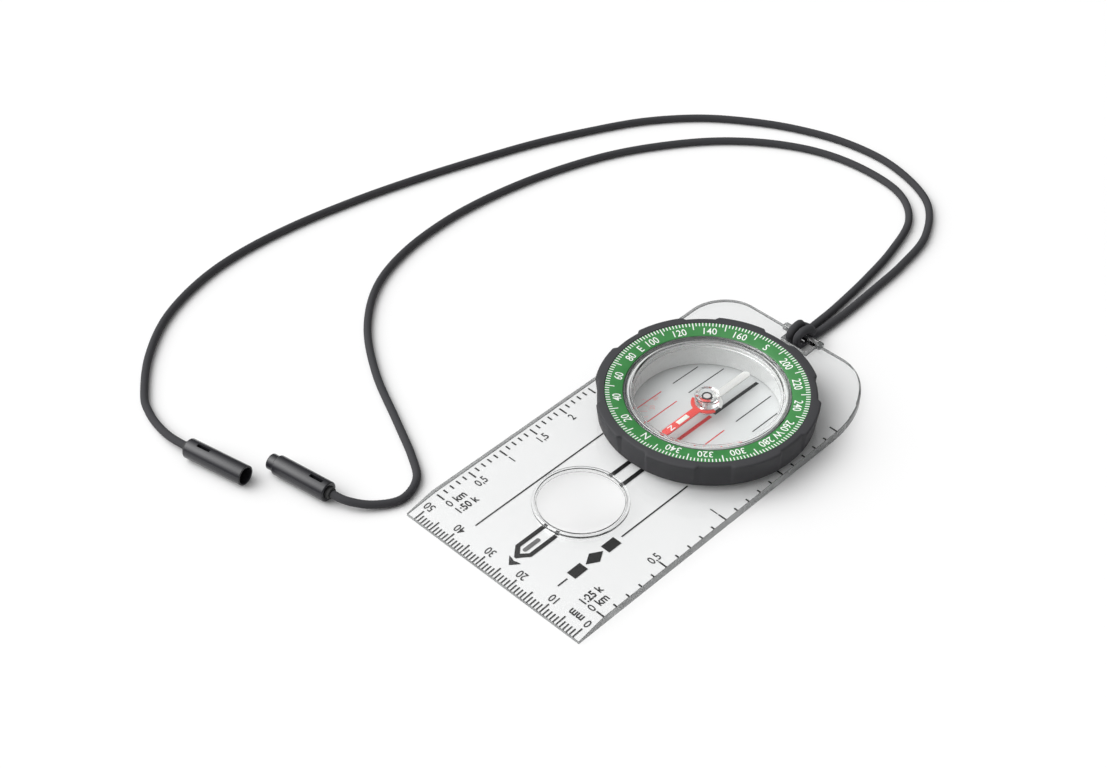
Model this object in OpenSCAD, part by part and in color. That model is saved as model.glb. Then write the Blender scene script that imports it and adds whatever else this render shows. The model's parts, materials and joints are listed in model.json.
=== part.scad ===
// Baseplate compass: a clear plate with a turning dial, a needle on a jewel pivot,
// a magnifier lens, and a neck cord whose two ends push together in a clasp.
// Millimetres. +Z is up, +Y is the direction of travel. The origin lies on the
// rest plane, under the middle of the plate.

/* [Baseplate] */
// Length of the plate along the direction of travel
plate_l = 109.4; // [108:0.2:114]
// Width of the plate across the ruler
plate_w = 54.4; // [54.2:0.2:60]
// Thickness of the plate
plate_t = 2.6; // [2.4:0.1:2.8]
// Height of the front edge below the ruler bevel
bevel_edge_t = 1.0; // [0.6:0.1:1.6]
// Depth of the ruler bevel behind the front edge
bevel_l = 7.7; // [5:0.1:9]
// Radius across the plate of the rear corner on the +X side
corner_right_w = 10; // [6:0.5:14]
// Radius along the plate of the rear corner on the +X side
corner_right_l = 11; // [6:0.5:16]
// Radius across the plate of the rear corner on the -X side
corner_left_w = 15.5; // [8:0.5:18]
// Radius along the plate of the rear corner on the -X side
corner_left_l = 23; // [10:0.5:26]

/* [Magnifier] */
// Distance of the lens centre ahead of the plate's middle
lens_y = 25.9; // [24.5:0.1:27]
// Radius of the lens plug in the plate
lens_r = 10.35; // [9:0.05:10.6]
// Height of the lens dome above its rim
lens_dome_h = 1.2; // [0.8:0.1:1.8]

/* [Dial] */
// Distance of the dial centre behind the plate's middle
dial_back = 17.25; // [17:0.05:18]
// Outer radius of the bezel over its grip lobes
bezel_r = 26.95; // [26.6:0.05:27.1]
// Height of the bezel's top face
bezel_top_z = 9.05; // [8.98:0.01:9.4]
// Number of grip lobes on the bezel
lobe_count = 8; // [6:1:10]
// Angle that each grip lobe covers
lobe_angle = 27; // [20:1:32]
// Depth of the recesses between the lobes
recess_d = 0.8; // [0.5:0.05:1]
// Gap between the bezel and the plate
bezel_gap = 0.35; // [0.3:0.05:0.5]
// Running clearance of the dial's neck in the plate
neck_gap = 0.08; // [0.05:0.01:0.1]

/* [Needle] */
// Length of the needle from tip to tip
needle_l = 31.4; // [24:0.2:34]
// Width of the needle
needle_w = 2.1; // [1.6:0.1:2.6]
// Thickness of the needle
needle_t = 0.4; // [0.3:0.05:0.5]
// Radius of the clear needle hub
hub_r = 3.05; // [2.6:0.05:3.4]
// Radius of the pivot pin
pin_r = 0.35; // [0.3:0.05:0.4]
// Running clearance of the pin in the jewel
pin_gap = 0.05; // [0.02:0.01:0.08]

/* [Neck cord] */
// Diameter of the cord
cord_d = 2.0; // [1.6:0.1:2]
// Diameter of the clasp bodies
clasp_d = 5.0; // [4.6:0.1:5.4]
// Length of the clasp socket
socket_l = 17.2; // [15:0.1:20]
// Length of the clasp plug with its tip
plug_l = 17.6; // [15:0.1:20]

/* [Hidden] */
$fn = 96;
cut = 1;                                  // how far a cutting solid runs past what it cuts

// Plate outline and its rear cord bridge
corner_steps = 24;
slot_w = 8;                               // width of the cord slot
slot_l = 2.7;
bar_l = 2.1;                              // the bridge bar, along the plate
bar_w = 12;
bar_z = [2.3, 4.0];
bar_y = -plate_l / 2 + bar_l / 2;

// Lens
lens_gap = 0.05;
lens_foot_z = 0.1;
lens_flange_r = lens_r + 0.95;
lens_flange_t = 0.6;
lens_flange_bevel = 0.35;
lens_dome_r = lens_r - 0.15;
lens_sphere_r = (pow(lens_dome_r, 2) + pow(lens_dome_h, 2)) / (2 * lens_dome_h);

// Dial stack, from the capsule out to the bezel
neck_r = 20.52;
wall_r = [18.6, 20.0];                    // inner and outer radius of the capsule wall
bezel_bore_r = 20.05;
bezel_bottom_z = plate_t + bezel_gap;
bezel_core_r = bezel_r - recess_d;
bezel_taper = 0.75;                       // the lobes are this much smaller at the bottom
bezel_chamfer = 0.5;
bezel_cavity_r = [21.8, 24.6];            // moulding cavity under the bezel
bezel_cavity_top_z = 6.4;
flank_angle = 3;                          // slope of each lobe's flank
ring_seat_z = 7.6;
ring_r = [20.05, 24.35];
ring_seat_r = 24.4;
ring_top_z = [8.5, 8.97];                 // height of the degree ring, inside and outside
base_z = [0.3, 1.2];
counterbore_r = 22.2;
counterbore_h = 1.0;
keeper_r = 22.0;
keeper_z = [0.15, 0.85];
lid_z = [6.7, 7.7];
lid_plug_r = 18.55;
lid_plug_inner_r = 17.6;
lid_pane_z = [7.55, 8.15];
lid_rim_r = [17.9, 19.95];
lid_rim_top_z = 8.65;
lid_rim_round = 0.45;

// Needle, pivot and hub
needle_z = 4.15;
needle_tip_cut = 0.7;
fork_r = hub_r + 0.85;
fork_gap_angle = 15;                      // each half ring stops this far short of the middle line
hub_z = [4.05, 7.3];
hub_bore_r = 2.0;                         // open cup in the hub's top, round the jewel
jewel_r = 0.95;
jewel_z = [5.3, 6.75];
jewel_cup_top_z = 5.85;
collar_r = 1.3;
collar_z = [5.9, 6.85];
seat_r = 1.45;
seat_h = 0.25;
pin_point_h = 0.35;
pin_top_z = 5.78;
patch_w = 1.25;
patch_l = 3.75;
patch_y = 6.85;
patch_sink = 0.15;
patch_h = 0.23;

// Neck cord
cord_r = cord_d / 2;
cord_rings = 40;
cord_sides = 8;
hitch_x = 0.9;
hitch_gap = 0.1;
hitch_leg_w = 2.1;
hitch_leg_gap = 0.1;
bight_z = 3.1;

// Clasp. Each piece lies along its own +X, from the cord end.
ferrule_r = 1.45;
ferrule_l = 1.8;
ferrule_out = 1.0;                        // the ferrule stands this far out of the clasp body
cord_bore_gap = 0.04;
cord_bore_l = 4.5;
window_w = 0.9;
window_l = 3.8;
socket_bore_r = clasp_d / 2 - 0.45;
socket_bore_l = 5.5;
tip_r = clasp_d / 2 - 0.5;
tip_l = 2.2;
tip_hollow_r = 1.4;
socket_window_x = 3.0;
plug_window_x = 1.6;
clasp_z = clasp_d / 2;
socket_at = [78.55, 76.95];
socket_turn = 191.4;
plug_at = [43.8, 63.6];
plug_turn = 9;

// Cord routes, from the hitch to the clasp
outer_route = [
    [-0.5, -55.5, 1.3], [-0.6, -61, 1.2], [-0.6, -70, 1], [0, -82, 1], [1, -96, 1], [4, -110, 1],
    [13, -122.5, 1], [29, -129, 1], [45, -129, 1], [60, -124.5, 1], [73, -117.5, 1], [84, -109, 1],
    [94, -97, 1], [102, -82.5, 1], [109, -67, 1], [115, -50, 1], [120.5, -32.5, 1], [125, -15, 1],
    [128.5, 4.5, 1], [129.5, 22, 1], [127.5, 37, 1], [122, 51.5, 1], [113, 63.5, 1], [102.5, 72.5, 1],
    [96.8, 75.3, 1], [91.2, 76.75, 1.25], [85.2, 77.45, 1.9], [78.55, 76.95, 2.5],
    [75.65, 76.35, 2.5]
];
inner_route = [
    [1.7, -55.5, 1.3], [1.95, -61, 1.2], [2.5, -70, 1], [4, -84, 1], [6.5, -98.5, 1], [11, -112, 1],
    [20, -120, 1], [33, -122.3, 1], [47, -120.5, 1], [60, -114.5, 1], [72, -104.8, 1], [82, -92, 1],
    [90, -77.5, 1], [96, -60, 1], [99.5, -42.5, 1], [100.5, -26, 1], [98.5, -9, 1], [93, 5.5, 1],
    [82.5, 18, 1], [68, 28, 1], [52, 35.7, 1], [40, 41.5, 1], [33.5, 46, 1], [31.3, 52.5, 1],
    [34.25, 58.4, 1.4], [38.85, 62.3, 2.2], [43.8, 63.6, 2.5], [46.8, 64.1, 2.5]
];

// A quarter ellipse of points from angle a0 to a1, for a corner
function corner(centre, w, l, a0, a1) = [
    for (i = [0 : corner_steps])
        let (a = a0 + (a1 - a0) * i / corner_steps)
        [centre[0] + w * cos(a), centre[1] + l * sin(a)]
];

// A quarter circle of profile points
function arc(cx, cz, r, a0, a1, n = 8) = [
    for (i = [0 : n]) [cx + r * cos(a0 + (a1 - a0) * i / n), cz + r * sin(a0 + (a1 - a0) * i / n)]
];

// A smooth curve through the route's points, at step t counted in points
function on_route(route, t) =
    let (
        last = len(route) - 1,
        i = min(floor(t), last - 1),
        u = t - i,
        before = route[max(i - 1, 0)],
        here = route[i],
        next = route[i + 1],
        after = route[min(i + 2, last)]
    )
    (2 * here + u * (next - before) + u * u * (2 * before - 5 * here + 4 * next - after)
        + u * u * u * (3 * here - before - 3 * next + after)) / 2;

function unit(v) = v / norm(v);

// One ring of points round the route at step t, square to the cord
function route_ring(route, t, r) =
    let (
        step = 0.01,
        last = len(route) - 1,
        along = unit(on_route(route, min(t + step, last)) - on_route(route, max(t - step, 0))),
        side = unit(cross(along, [0, 0, 1])),
        up = cross(side, along),
        turn = 180 / cord_sides
    )
    [for (k = [0 : cord_sides - 1])
        on_route(route, t) + r * (cos(turn + 2 * turn * k) * side + sin(turn + 2 * turn * k) * up)];

// A tube swept along a route
module cord_tube(route, r) {
    last = len(route) - 1;
    rings = [for (i = [0 : cord_rings - 1]) route_ring(route, last * i / (cord_rings - 1), r)];
    points = [for (ring = rings) each ring];
    walls = [
        for (i = [0 : cord_rings - 2], k = [0 : cord_sides - 1])
            let (a = i * cord_sides, next = (k + 1) % cord_sides)
            [a + k, a + cord_sides + k, a + cord_sides + next, a + next]
    ];
    near_cap = [for (k = [0 : cord_sides - 1]) k];
    far_cap = [for (k = [cord_sides - 1 : -1 : 0]) (cord_rings - 1) * cord_sides + k];
    polyhedron(points, concat([near_cap], walls, [far_cap]), convexity = 6);
}

// A ring turned about the dial's axis, from its half section
module dial_turned() {
    translate([0, -dial_back, 0]) rotate_extrude() children();
}

// A disc or tube on the dial's axis
module dial_tube(r, z, bore = 0) {
    translate([0, -dial_back, z[0]]) difference() {
        cylinder(r = r, h = z[1] - z[0]);
        if (bore > 0) translate([0, 0, -cut]) cylinder(r = bore, h = z[1] - z[0] + 2 * cut);
    }
}

// A side profile, drawn as [y, z], carried across the plate
module across(width) {
    rotate([90, 0, 90]) linear_extrude(width, center = true) children();
}

module plate_outline() {
    w = plate_w / 2;
    l = plate_l / 2;
    polygon(concat(
        [[-w, l]],
        corner([-w + corner_left_w, -l + corner_left_l], corner_left_w, corner_left_l, 180, 270),
        corner([w - corner_right_w, -l + corner_right_l], corner_right_w, corner_right_l, 270, 360),
        [[w, l]]
    ));
}

module plate_side() {
    l = plate_l / 2;
    polygon([[-l, 0], [l, 0], [l, bevel_edge_t], [l - bevel_l, plate_t], [-l, plate_t]]);
}

// The raised bar that the cord is hitched to
module cord_bridge() {
    translate([-bar_w / 2, bar_y - bar_l / 2, bar_z[0]]) cube([bar_w, bar_l, bar_z[1] - bar_z[0]]);
}

module baseplate() {
    slot_front_y = -plate_l / 2 + bar_l + slot_l;
    color([0.88, 0.93, 0.95, 0.45]) union() {
        difference() {
            intersection() {
                linear_extrude(plate_t) plate_outline();
                across(plate_w + 2 * cut) plate_side();
            }
            translate([0, -dial_back, -cut]) cylinder(r = neck_r + neck_gap, h = plate_t + 2 * cut);
            translate([0, -dial_back, -cut]) cylinder(r = counterbore_r, h = counterbore_h + cut);
            translate([0, lens_y, -cut]) cylinder(r = lens_r + lens_gap, h = plate_t + 2 * cut);
            translate([-slot_w / 2, -plate_l / 2 - cut, -cut])
                cube([slot_w, slot_front_y + plate_l / 2 + cut, plate_t + 2 * cut]);
        }
        cord_bridge();
    }
}

module magnifier_lens() {
    flange_top_z = plate_t + lens_flange_t;
    color([0.9, 0.95, 1, 0.4]) translate([0, lens_y, 0]) union() {
        rotate_extrude() polygon([
            [0, lens_foot_z], [lens_r, lens_foot_z], [lens_r, plate_t], [lens_flange_r, plate_t],
            [lens_flange_r, flange_top_z - lens_flange_bevel],
            [lens_flange_r - lens_flange_bevel, flange_top_z], [0, flange_top_z]
        ]);
        intersection() {
            translate([0, 0, flange_top_z + lens_dome_h - lens_sphere_r]) sphere(r = lens_sphere_r);
            translate([0, 0, flange_top_z - lens_flange_t / 2])
                cylinder(r = lens_dome_r, h = lens_dome_h + lens_flange_t);
        }
    }
}

// Half section of the bezel at a given outer radius
module bezel_section(outer_r, taper) {
    polygon([
        [bezel_bore_r, bezel_bottom_z], [bezel_cavity_r[0], bezel_bottom_z],
        [bezel_cavity_r[0], bezel_cavity_top_z], [bezel_cavity_r[1], bezel_cavity_top_z],
        [bezel_cavity_r[1], bezel_bottom_z], [outer_r - taper, bezel_bottom_z],
        [outer_r, bezel_top_z - bezel_chamfer], [outer_r - bezel_chamfer, bezel_top_z],
        [ring_seat_r, bezel_top_z], [ring_seat_r, ring_seat_z], [bezel_bore_r, ring_seat_z]
    ]);
}

// One wedge that keeps a lobe of the outer bezel, with sloping flanks
module lobe_wedge() {
    root = lobe_angle / 2;
    crest = root - flank_angle;
    polygon([
        [0, 0], [bezel_core_r * cos(-root), bezel_core_r * sin(-root)],
        [bezel_r * cos(-crest), bezel_r * sin(-crest)], [bezel_r + cut, 0],
        [bezel_r * cos(crest), bezel_r * sin(crest)], [bezel_core_r * cos(root), bezel_core_r * sin(root)]
    ]);
}

module bezel_ring() {
    step = 360 / lobe_count;
    color([0.09, 0.09, 0.1]) union() {
        dial_turned() bezel_section(bezel_core_r, 0);
        intersection() {
            dial_turned() bezel_section(bezel_r, bezel_taper);
            translate([0, -dial_back, 0]) linear_extrude(bezel_top_z + cut)
                for (i = [0 : lobe_count - 1]) rotate(step * (i + 0.5)) lobe_wedge();
        }
    }
}

module degree_ring() {
    color([0.24, 0.55, 0.32]) dial_turned() polygon([
        [ring_r[0], ring_seat_z], [ring_r[1], ring_seat_z],
        [ring_r[1], ring_top_z[1]], [ring_r[0], ring_top_z[0]]
    ]);
}

module capsule_body() {
    color([0.92, 0.94, 0.94, 0.6]) dial_turned() polygon([
        [wall_r[0], base_z[1]], [neck_r, base_z[1]], [neck_r, bezel_bottom_z],
        [wall_r[1], bezel_bottom_z], [wall_r[1], lid_z[1]], [wall_r[0], lid_z[1]]
    ]);
}

module capsule_lid() {
    r = lid_rim_round;
    color([0.95, 0.97, 1, 0.35]) dial_turned() polygon(concat(
        [[0, lid_pane_z[0]], [lid_plug_inner_r, lid_pane_z[0]], [lid_plug_inner_r, lid_z[0]],
        [lid_plug_r, lid_z[0]], [lid_plug_r, lid_z[1]], [lid_rim_r[1], lid_z[1]]],
        arc(lid_rim_r[1] - r, lid_rim_top_z - r, r, 0, 90),
        arc(lid_rim_r[0] + r, lid_rim_top_z - r, r, 90, 180),
        [[lid_rim_r[0], lid_pane_z[1]], [0, lid_pane_z[1]]]
    ));
}

module capsule_base() {
    color([0.93, 0.94, 0.94, 0.6]) dial_tube(neck_r, base_z);
}

module retaining_ring() {
    color([0.9, 0.9, 0.9, 0.6]) dial_tube(keeper_r, keeper_z, neck_r);
}

module pivot_seat() {
    color([0.75, 0.75, 0.73]) dial_tube(seat_r, [base_z[1], base_z[1] + seat_h], pin_r);
}

module pivot_pin() {
    shaft_top_z = pin_top_z - pin_point_h;
    color([0.7, 0.7, 0.7]) translate([0, -dial_back, 0]) union() {
        translate([0, 0, base_z[1]]) cylinder(r = pin_r, h = shaft_top_z - base_z[1]);
        translate([0, 0, shaft_top_z]) cylinder(r1 = pin_r, r2 = 0.05, h = pin_point_h);
    }
}

// The half ring that holds one arm to the hub, on the +Y side
module fork_half() {
    reach = fork_r + cut;
    difference() {
        circle(r = fork_r);
        circle(r = hub_r);
        translate([-reach, -reach]) square([2 * reach, reach]);
        for (side = [0, 1]) mirror([side, 0])
            polygon([[0, 0], [reach * cos(fork_gap_angle), reach * sin(fork_gap_angle)], [reach, 0]]);
    }
}

module needle_north() {
    tip_y = needle_l / 2 - needle_w / 2;
    color([0.82, 0.16, 0.14]) translate([0, -dial_back, needle_z]) difference() {
        linear_extrude(needle_t) union() {
            fork_half();
            translate([-needle_w / 2, fork_r - 0.2]) square([needle_w, tip_y - fork_r + 0.2]);
            translate([0, tip_y]) circle(r = needle_w / 2);
        }
        translate([-patch_w / 2, patch_y, needle_t - patch_sink])
            cube([patch_w, patch_l, patch_sink + cut]);
    }
}

module needle_south() {
    tip_y = needle_l / 2;
    w = needle_w / 2;
    color([0.93, 0.93, 0.92]) translate([0, -dial_back, needle_z]) rotate(180)
        linear_extrude(needle_t) union() {
            fork_half();
            polygon([
                [-w, fork_r - 0.2], [w, fork_r - 0.2], [w, tip_y - needle_tip_cut],
                [w - needle_tip_cut, tip_y], [-w + needle_tip_cut, tip_y], [-w, tip_y - needle_tip_cut]
            ]);
        }
}

module luminous_patch() {
    color([0.95, 0.97, 0.88])
        translate([-patch_w / 2, patch_y - dial_back, needle_z + needle_t - patch_sink])
            cube([patch_w, patch_l, patch_h]);
}

module needle_hub() {
    color([0.9, 0.94, 0.97, 0.4]) dial_turned() polygon([
        [jewel_r, hub_z[0]], [hub_r, hub_z[0]], [hub_r, hub_z[1]], [hub_bore_r, hub_z[1]],
        [hub_bore_r, collar_z[0]], [jewel_r, collar_z[0]]
    ]);
}

module hub_jewel() {
    cup_r = pin_r + pin_gap;
    color([0.75, 0.25, 0.3]) dial_turned() polygon([
        [cup_r, jewel_z[0]], [jewel_r, jewel_z[0]], [jewel_r, jewel_z[1]], [0, jewel_z[1]],
        [0, jewel_cup_top_z], [cup_r, jewel_cup_top_z]
    ]);
}

module jewel_collar() {
    color([0.35, 0.35, 0.36]) dial_tube(collar_r, collar_z, jewel_r);
}

// Round-cornered loop of cord about the bridge bar, as [y, z]
module hitch_loop() {
    l = bar_l + 2 * hitch_gap;
    h = bar_z[1] - bar_z[0] + 2 * hitch_gap;
    translate([bar_y, (bar_z[0] + bar_z[1]) / 2]) difference() {
        union() {
            square([l + 2 * cord_d, h], center = true);
            square([l, h + 2 * cord_d], center = true);
            for (y = [-l / 2, l / 2], z = [-h / 2, h / 2]) translate([y, z]) circle(r = cord_d);
        }
        square([l, h], center = true);
    }
}

module lanyard_hitch() {
    leg_x = (hitch_leg_w + hitch_leg_gap) / 2;
    bight_y = bar_y - bar_l / 2 - cord_d - cord_r / 4;
    color([0.2, 0.2, 0.21]) translate([hitch_x, 0, 0]) union() {
        for (side = [-1, 1]) translate([side * leg_x, 0, 0]) across(hitch_leg_w) hitch_loop();
        translate([-leg_x, bight_y, bight_z]) rotate([0, 90, 0]) cylinder(r = cord_r, h = 2 * leg_x);
        for (side = [-1, 1]) translate([side * leg_x, bight_y, bight_z]) sphere(r = cord_r);
    }
}

module lanyard_strand_outer() {
    color([0.22, 0.22, 0.23]) cord_tube(outer_route, cord_r);
}

module lanyard_strand_inner() {
    color([0.22, 0.22, 0.23]) cord_tube(inner_route, cord_r);
}

// Lays a clasp piece, drawn along +X, at its place on the ground
module clasp_place(at, turn) {
    translate([at[0], at[1], clasp_z]) rotate(turn) children();
}

// A round bar or bore along +X
module rod(r, x, l) {
    translate([x, 0, 0]) rotate([0, 90, 0]) cylinder(r = r, h = l);
}

// The cuts that every clasp body has at its cord end
module clasp_cord_end(window_x) {
    rod(ferrule_r, -cut, ferrule_l - ferrule_out + cut);
    rod(cord_r + cord_bore_gap, 0, cord_bore_l);
    translate([window_x, -window_w / 2, -clasp_d]) cube([window_l, window_w, 2 * clasp_d]);
}

module clasp_socket() {
    color([0.08, 0.08, 0.09]) clasp_place(socket_at, socket_turn) difference() {
        rod(clasp_d / 2, 0, socket_l);
        clasp_cord_end(socket_window_x);
        rod(socket_bore_r, socket_l - socket_bore_l, socket_bore_l + cut);
    }
}

module clasp_plug() {
    color([0.08, 0.08, 0.09]) clasp_place(plug_at, plug_turn) difference() {
        union() {
            rod(clasp_d / 2, 0, plug_l - tip_l);
            rod(tip_r, plug_l - tip_l - cut, tip_l + cut);
        }
        clasp_cord_end(plug_window_x);
        rod(tip_hollow_r, plug_l - tip_l, tip_l + cut);
    }
}

// A short tube that grips the cord where it enters a clasp body
module ferrule() {
    difference() {
        rod(ferrule_r, -ferrule_out, ferrule_l);
        rod(cord_r + cord_bore_gap, -ferrule_out - cut, ferrule_l + 2 * cut);
    }
}

module socket_ferrule() {
    color([0.1, 0.1, 0.1]) clasp_place(socket_at, socket_turn) ferrule();
}

module plug_ferrule() {
    color([0.1, 0.1, 0.1]) clasp_place(plug_at, plug_turn) ferrule();
}

baseplate();
magnifier_lens();
bezel_ring();
degree_ring();
capsule_body();
capsule_lid();
capsule_base();
retaining_ring();
pivot_seat();
pivot_pin();
needle_north();
needle_south();
needle_hub();
hub_jewel();
jewel_collar();
luminous_patch();
lanyard_hitch();
lanyard_strand_outer();
lanyard_strand_inner();
clasp_socket();
socket_ferrule();
clasp_plug();
plug_ferrule();
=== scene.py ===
"""Visual model of a baseplate compass with a neck cord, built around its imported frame.

Sizes in the classes are in millimetres, in the frame of the part: +Z up, +Y along the direction of
travel, origin on the rest plane under the middle of the plate. Meshes are written in metres.
"""

from __future__ import annotations

import json
import logging
import math
from collections.abc import Sequence
from dataclasses import dataclass
from enum import Enum

import bmesh
import bpy
from mathutils import Matrix, Vector
from mathutils.geometry import tessellate_polygon

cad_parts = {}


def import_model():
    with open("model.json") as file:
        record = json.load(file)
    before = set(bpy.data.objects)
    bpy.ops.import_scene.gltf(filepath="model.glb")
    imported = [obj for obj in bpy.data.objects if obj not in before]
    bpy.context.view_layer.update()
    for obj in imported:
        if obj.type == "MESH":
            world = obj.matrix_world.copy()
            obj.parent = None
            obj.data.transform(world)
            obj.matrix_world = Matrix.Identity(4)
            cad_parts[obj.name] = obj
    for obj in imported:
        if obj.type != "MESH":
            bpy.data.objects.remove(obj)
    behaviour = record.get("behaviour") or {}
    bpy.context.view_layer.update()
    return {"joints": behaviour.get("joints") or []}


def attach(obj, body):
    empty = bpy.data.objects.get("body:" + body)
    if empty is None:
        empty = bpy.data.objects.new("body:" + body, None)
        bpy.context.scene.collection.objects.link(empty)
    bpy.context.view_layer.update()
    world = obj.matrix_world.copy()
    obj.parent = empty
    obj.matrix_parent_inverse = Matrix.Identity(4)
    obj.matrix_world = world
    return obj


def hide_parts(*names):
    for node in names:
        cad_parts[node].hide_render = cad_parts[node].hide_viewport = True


log = logging.getLogger("compass")

MM = 0.001
SMOOTH_ANGLE = math.radians(35)
ROUND_SIDES = 180

Point = tuple[float, float]
Corner = tuple[float, float, float]
Point3 = tuple[float, float, float]
Colour = tuple[float, float, float]


class Body(Enum):
    """The bodies that pieces ride on."""

    PLATE = "plate"
    DIAL = "dial"
    NEEDLE = "needle"


class Weight(Enum):
    """How heavy the strokes of a printed label are, as an offset of its outline."""

    LIGHT = -0.006
    PLAIN = 0.004
    BOLD = 0.020


# ---------------------------------------------------------------- node trees


class Tree:
    """Adds named nodes to a node tree and links them."""

    def __init__(self, tree: bpy.types.NodeTree) -> None:
        """Takes the tree that the nodes go into."""
        self.tree = tree

    def add(self, kind: str, label: str = "", **settings: object) -> bpy.types.Node:
        """Adds a node.

        Args:
            kind: the node's type name.
            label: what the node is for.
            **settings: properties of the node, by name.

        Returns:
            The new node.
        """
        node = self.tree.nodes.new(kind)
        node.label = label
        for name, value in settings.items():
            setattr(node, name, value)
        return node

    def link(self, source: bpy.types.NodeSocket, target: bpy.types.NodeSocket) -> None:
        """Links an output to an input."""
        self.tree.links.new(source, target)

    def maths(self, operation: str, *values: object) -> bpy.types.NodeSocket:
        """Adds a Math node.

        Args:
            operation: the node's operation.
            *values: a number or a socket for each input.

        Returns:
            The node's output socket.
        """
        node = self.add("ShaderNodeMath", operation=operation)
        for i, value in enumerate(values):
            if isinstance(value, bpy.types.NodeSocket):
                self.link(value, node.inputs[i])
            else:
                node.inputs[i].default_value = value
        return node.outputs[0]


# ---------------------------------------------------------------- finishes


@dataclass(frozen=True)
class Finish:
    """A surface finish: colour that varies a little, and fine relief in the surface.

    Args:
        name: the material's name.
        colour: the main colour, linear.
        second: the colour that the variation runs to.
        roughness: the lowest roughness.
        roughness_span: how far the roughness rises with the variation.
        grain: grains of relief in a millimetre.
        relief: height of the relief, in millimetres.
        spread: how coarse the colour variation is, in features a millimetre.
        light_tint: share of the light that passes each clear surface.
    """

    name: str
    colour: Colour
    second: Colour
    roughness: float = 0.4
    roughness_span: float = 0.1
    grain: float = 8.0
    relief: float = 0.004
    spread: float = 0.35
    metallic: float = 0.0
    transmission: float = 0.0
    ior: float = 1.49
    coat: float = 0.0
    sheen: float = 0.0
    scatter: float = 0.0
    light_tint: Colour = (0.95, 0.95, 0.95)

    def material(self) -> bpy.types.Material:
        """Builds the material, once for each name.

        Returns:
            The material.
        """
        known = bpy.data.materials.get(self.name)
        if known:
            return known
        made = bpy.data.materials.new(self.name)
        made.use_nodes = True
        made.node_tree.nodes.clear()
        tree = Tree(made.node_tree)
        shader = tree.add("ShaderNodeBsdfPrincipled", "surface")
        output = tree.add("ShaderNodeOutputMaterial")
        tree.link(self.let_light_in(tree, shader.outputs["BSDF"]), output.inputs["Surface"])
        self.set_uniform(shader)
        self.paint(tree, shader)
        return made

    def let_light_in(self, tree: Tree, surface: bpy.types.NodeSocket) -> bpy.types.NodeSocket:
        """Lets light reach what lies behind or under a clear piece.

        Args:
            tree: the material's tree.
            surface: the shader's output.

        Returns:
            The output that goes to the surface.
        """
        if not self.transmission:
            return surface
        path = tree.add("ShaderNodeLightPath")
        for ray in ("Is Shadow Ray", "Is Diffuse Ray"):
            clear = tree.add("ShaderNodeBsdfTransparent")
            clear.inputs["Color"].default_value = (*self.light_tint, 1.0)
            mix = tree.add("ShaderNodeMixShader", ray)
            tree.link(path.outputs[ray], mix.inputs["Fac"])
            tree.link(surface, mix.inputs[1])
            tree.link(clear.outputs["BSDF"], mix.inputs[2])
            surface = mix.outputs["Shader"]
        return surface

    def set_uniform(self, shader: bpy.types.Node) -> None:
        """Sets the values that are the same all over the surface.

        Args:
            shader: the Principled node.
        """
        shader.inputs["Metallic"].default_value = self.metallic
        shader.inputs["IOR"].default_value = self.ior
        shader.inputs["Transmission Weight"].default_value = self.transmission
        shader.inputs["Coat Weight"].default_value = self.coat
        shader.inputs["Coat Roughness"].default_value = 0.08
        shader.inputs["Sheen Weight"].default_value = self.sheen
        shader.inputs["Sheen Roughness"].default_value = 0.45
        shader.inputs["Subsurface Weight"].default_value = self.scatter
        shader.inputs["Subsurface Scale"].default_value = 0.5 * MM

    def paint(self, tree: Tree, shader: bpy.types.Node) -> None:
        """Adds the colour variation, the roughness and the relief.

        Args:
            tree: the material's tree.
            shader: the Principled node.
        """
        place = tree.add("ShaderNodeTexCoord")
        cloud = tree.add("ShaderNodeTexNoise", "slow variation")
        cloud.inputs["Scale"].default_value = self.spread / MM
        cloud.inputs["Detail"].default_value = 4.0
        tree.link(place.outputs["Object"], cloud.inputs["Vector"])
        ramp = tree.add("ShaderNodeValToRGB", "colour")
        ramp.color_ramp.elements[0].position = 0.3
        ramp.color_ramp.elements[1].position = 0.75
        ramp.color_ramp.elements[0].color = (*self.colour, 1.0)
        ramp.color_ramp.elements[1].color = (*self.second, 1.0)
        tree.link(cloud.outputs["Fac"], ramp.inputs["Fac"])
        tree.link(ramp.outputs["Color"], shader.inputs["Base Color"])
        rough = tree.maths("MULTIPLY_ADD", cloud.outputs["Fac"], self.roughness_span, self.roughness)
        tree.link(rough, shader.inputs["Roughness"])
        if self.relief:
            grain = tree.add("ShaderNodeTexNoise", "moulded grain")
            grain.inputs["Scale"].default_value = self.grain / MM
            grain.inputs["Detail"].default_value = 3.0
            tree.link(place.outputs["Object"], grain.inputs["Vector"])
            bump = tree.add("ShaderNodeBump", "relief")
            bump.inputs["Distance"].default_value = self.relief * MM
            bump.inputs["Strength"].default_value = 1.0
            tree.link(grain.outputs["Fac"], bump.inputs["Height"])
            tree.link(bump.outputs["Normal"], shader.inputs["Normal"])


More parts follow.
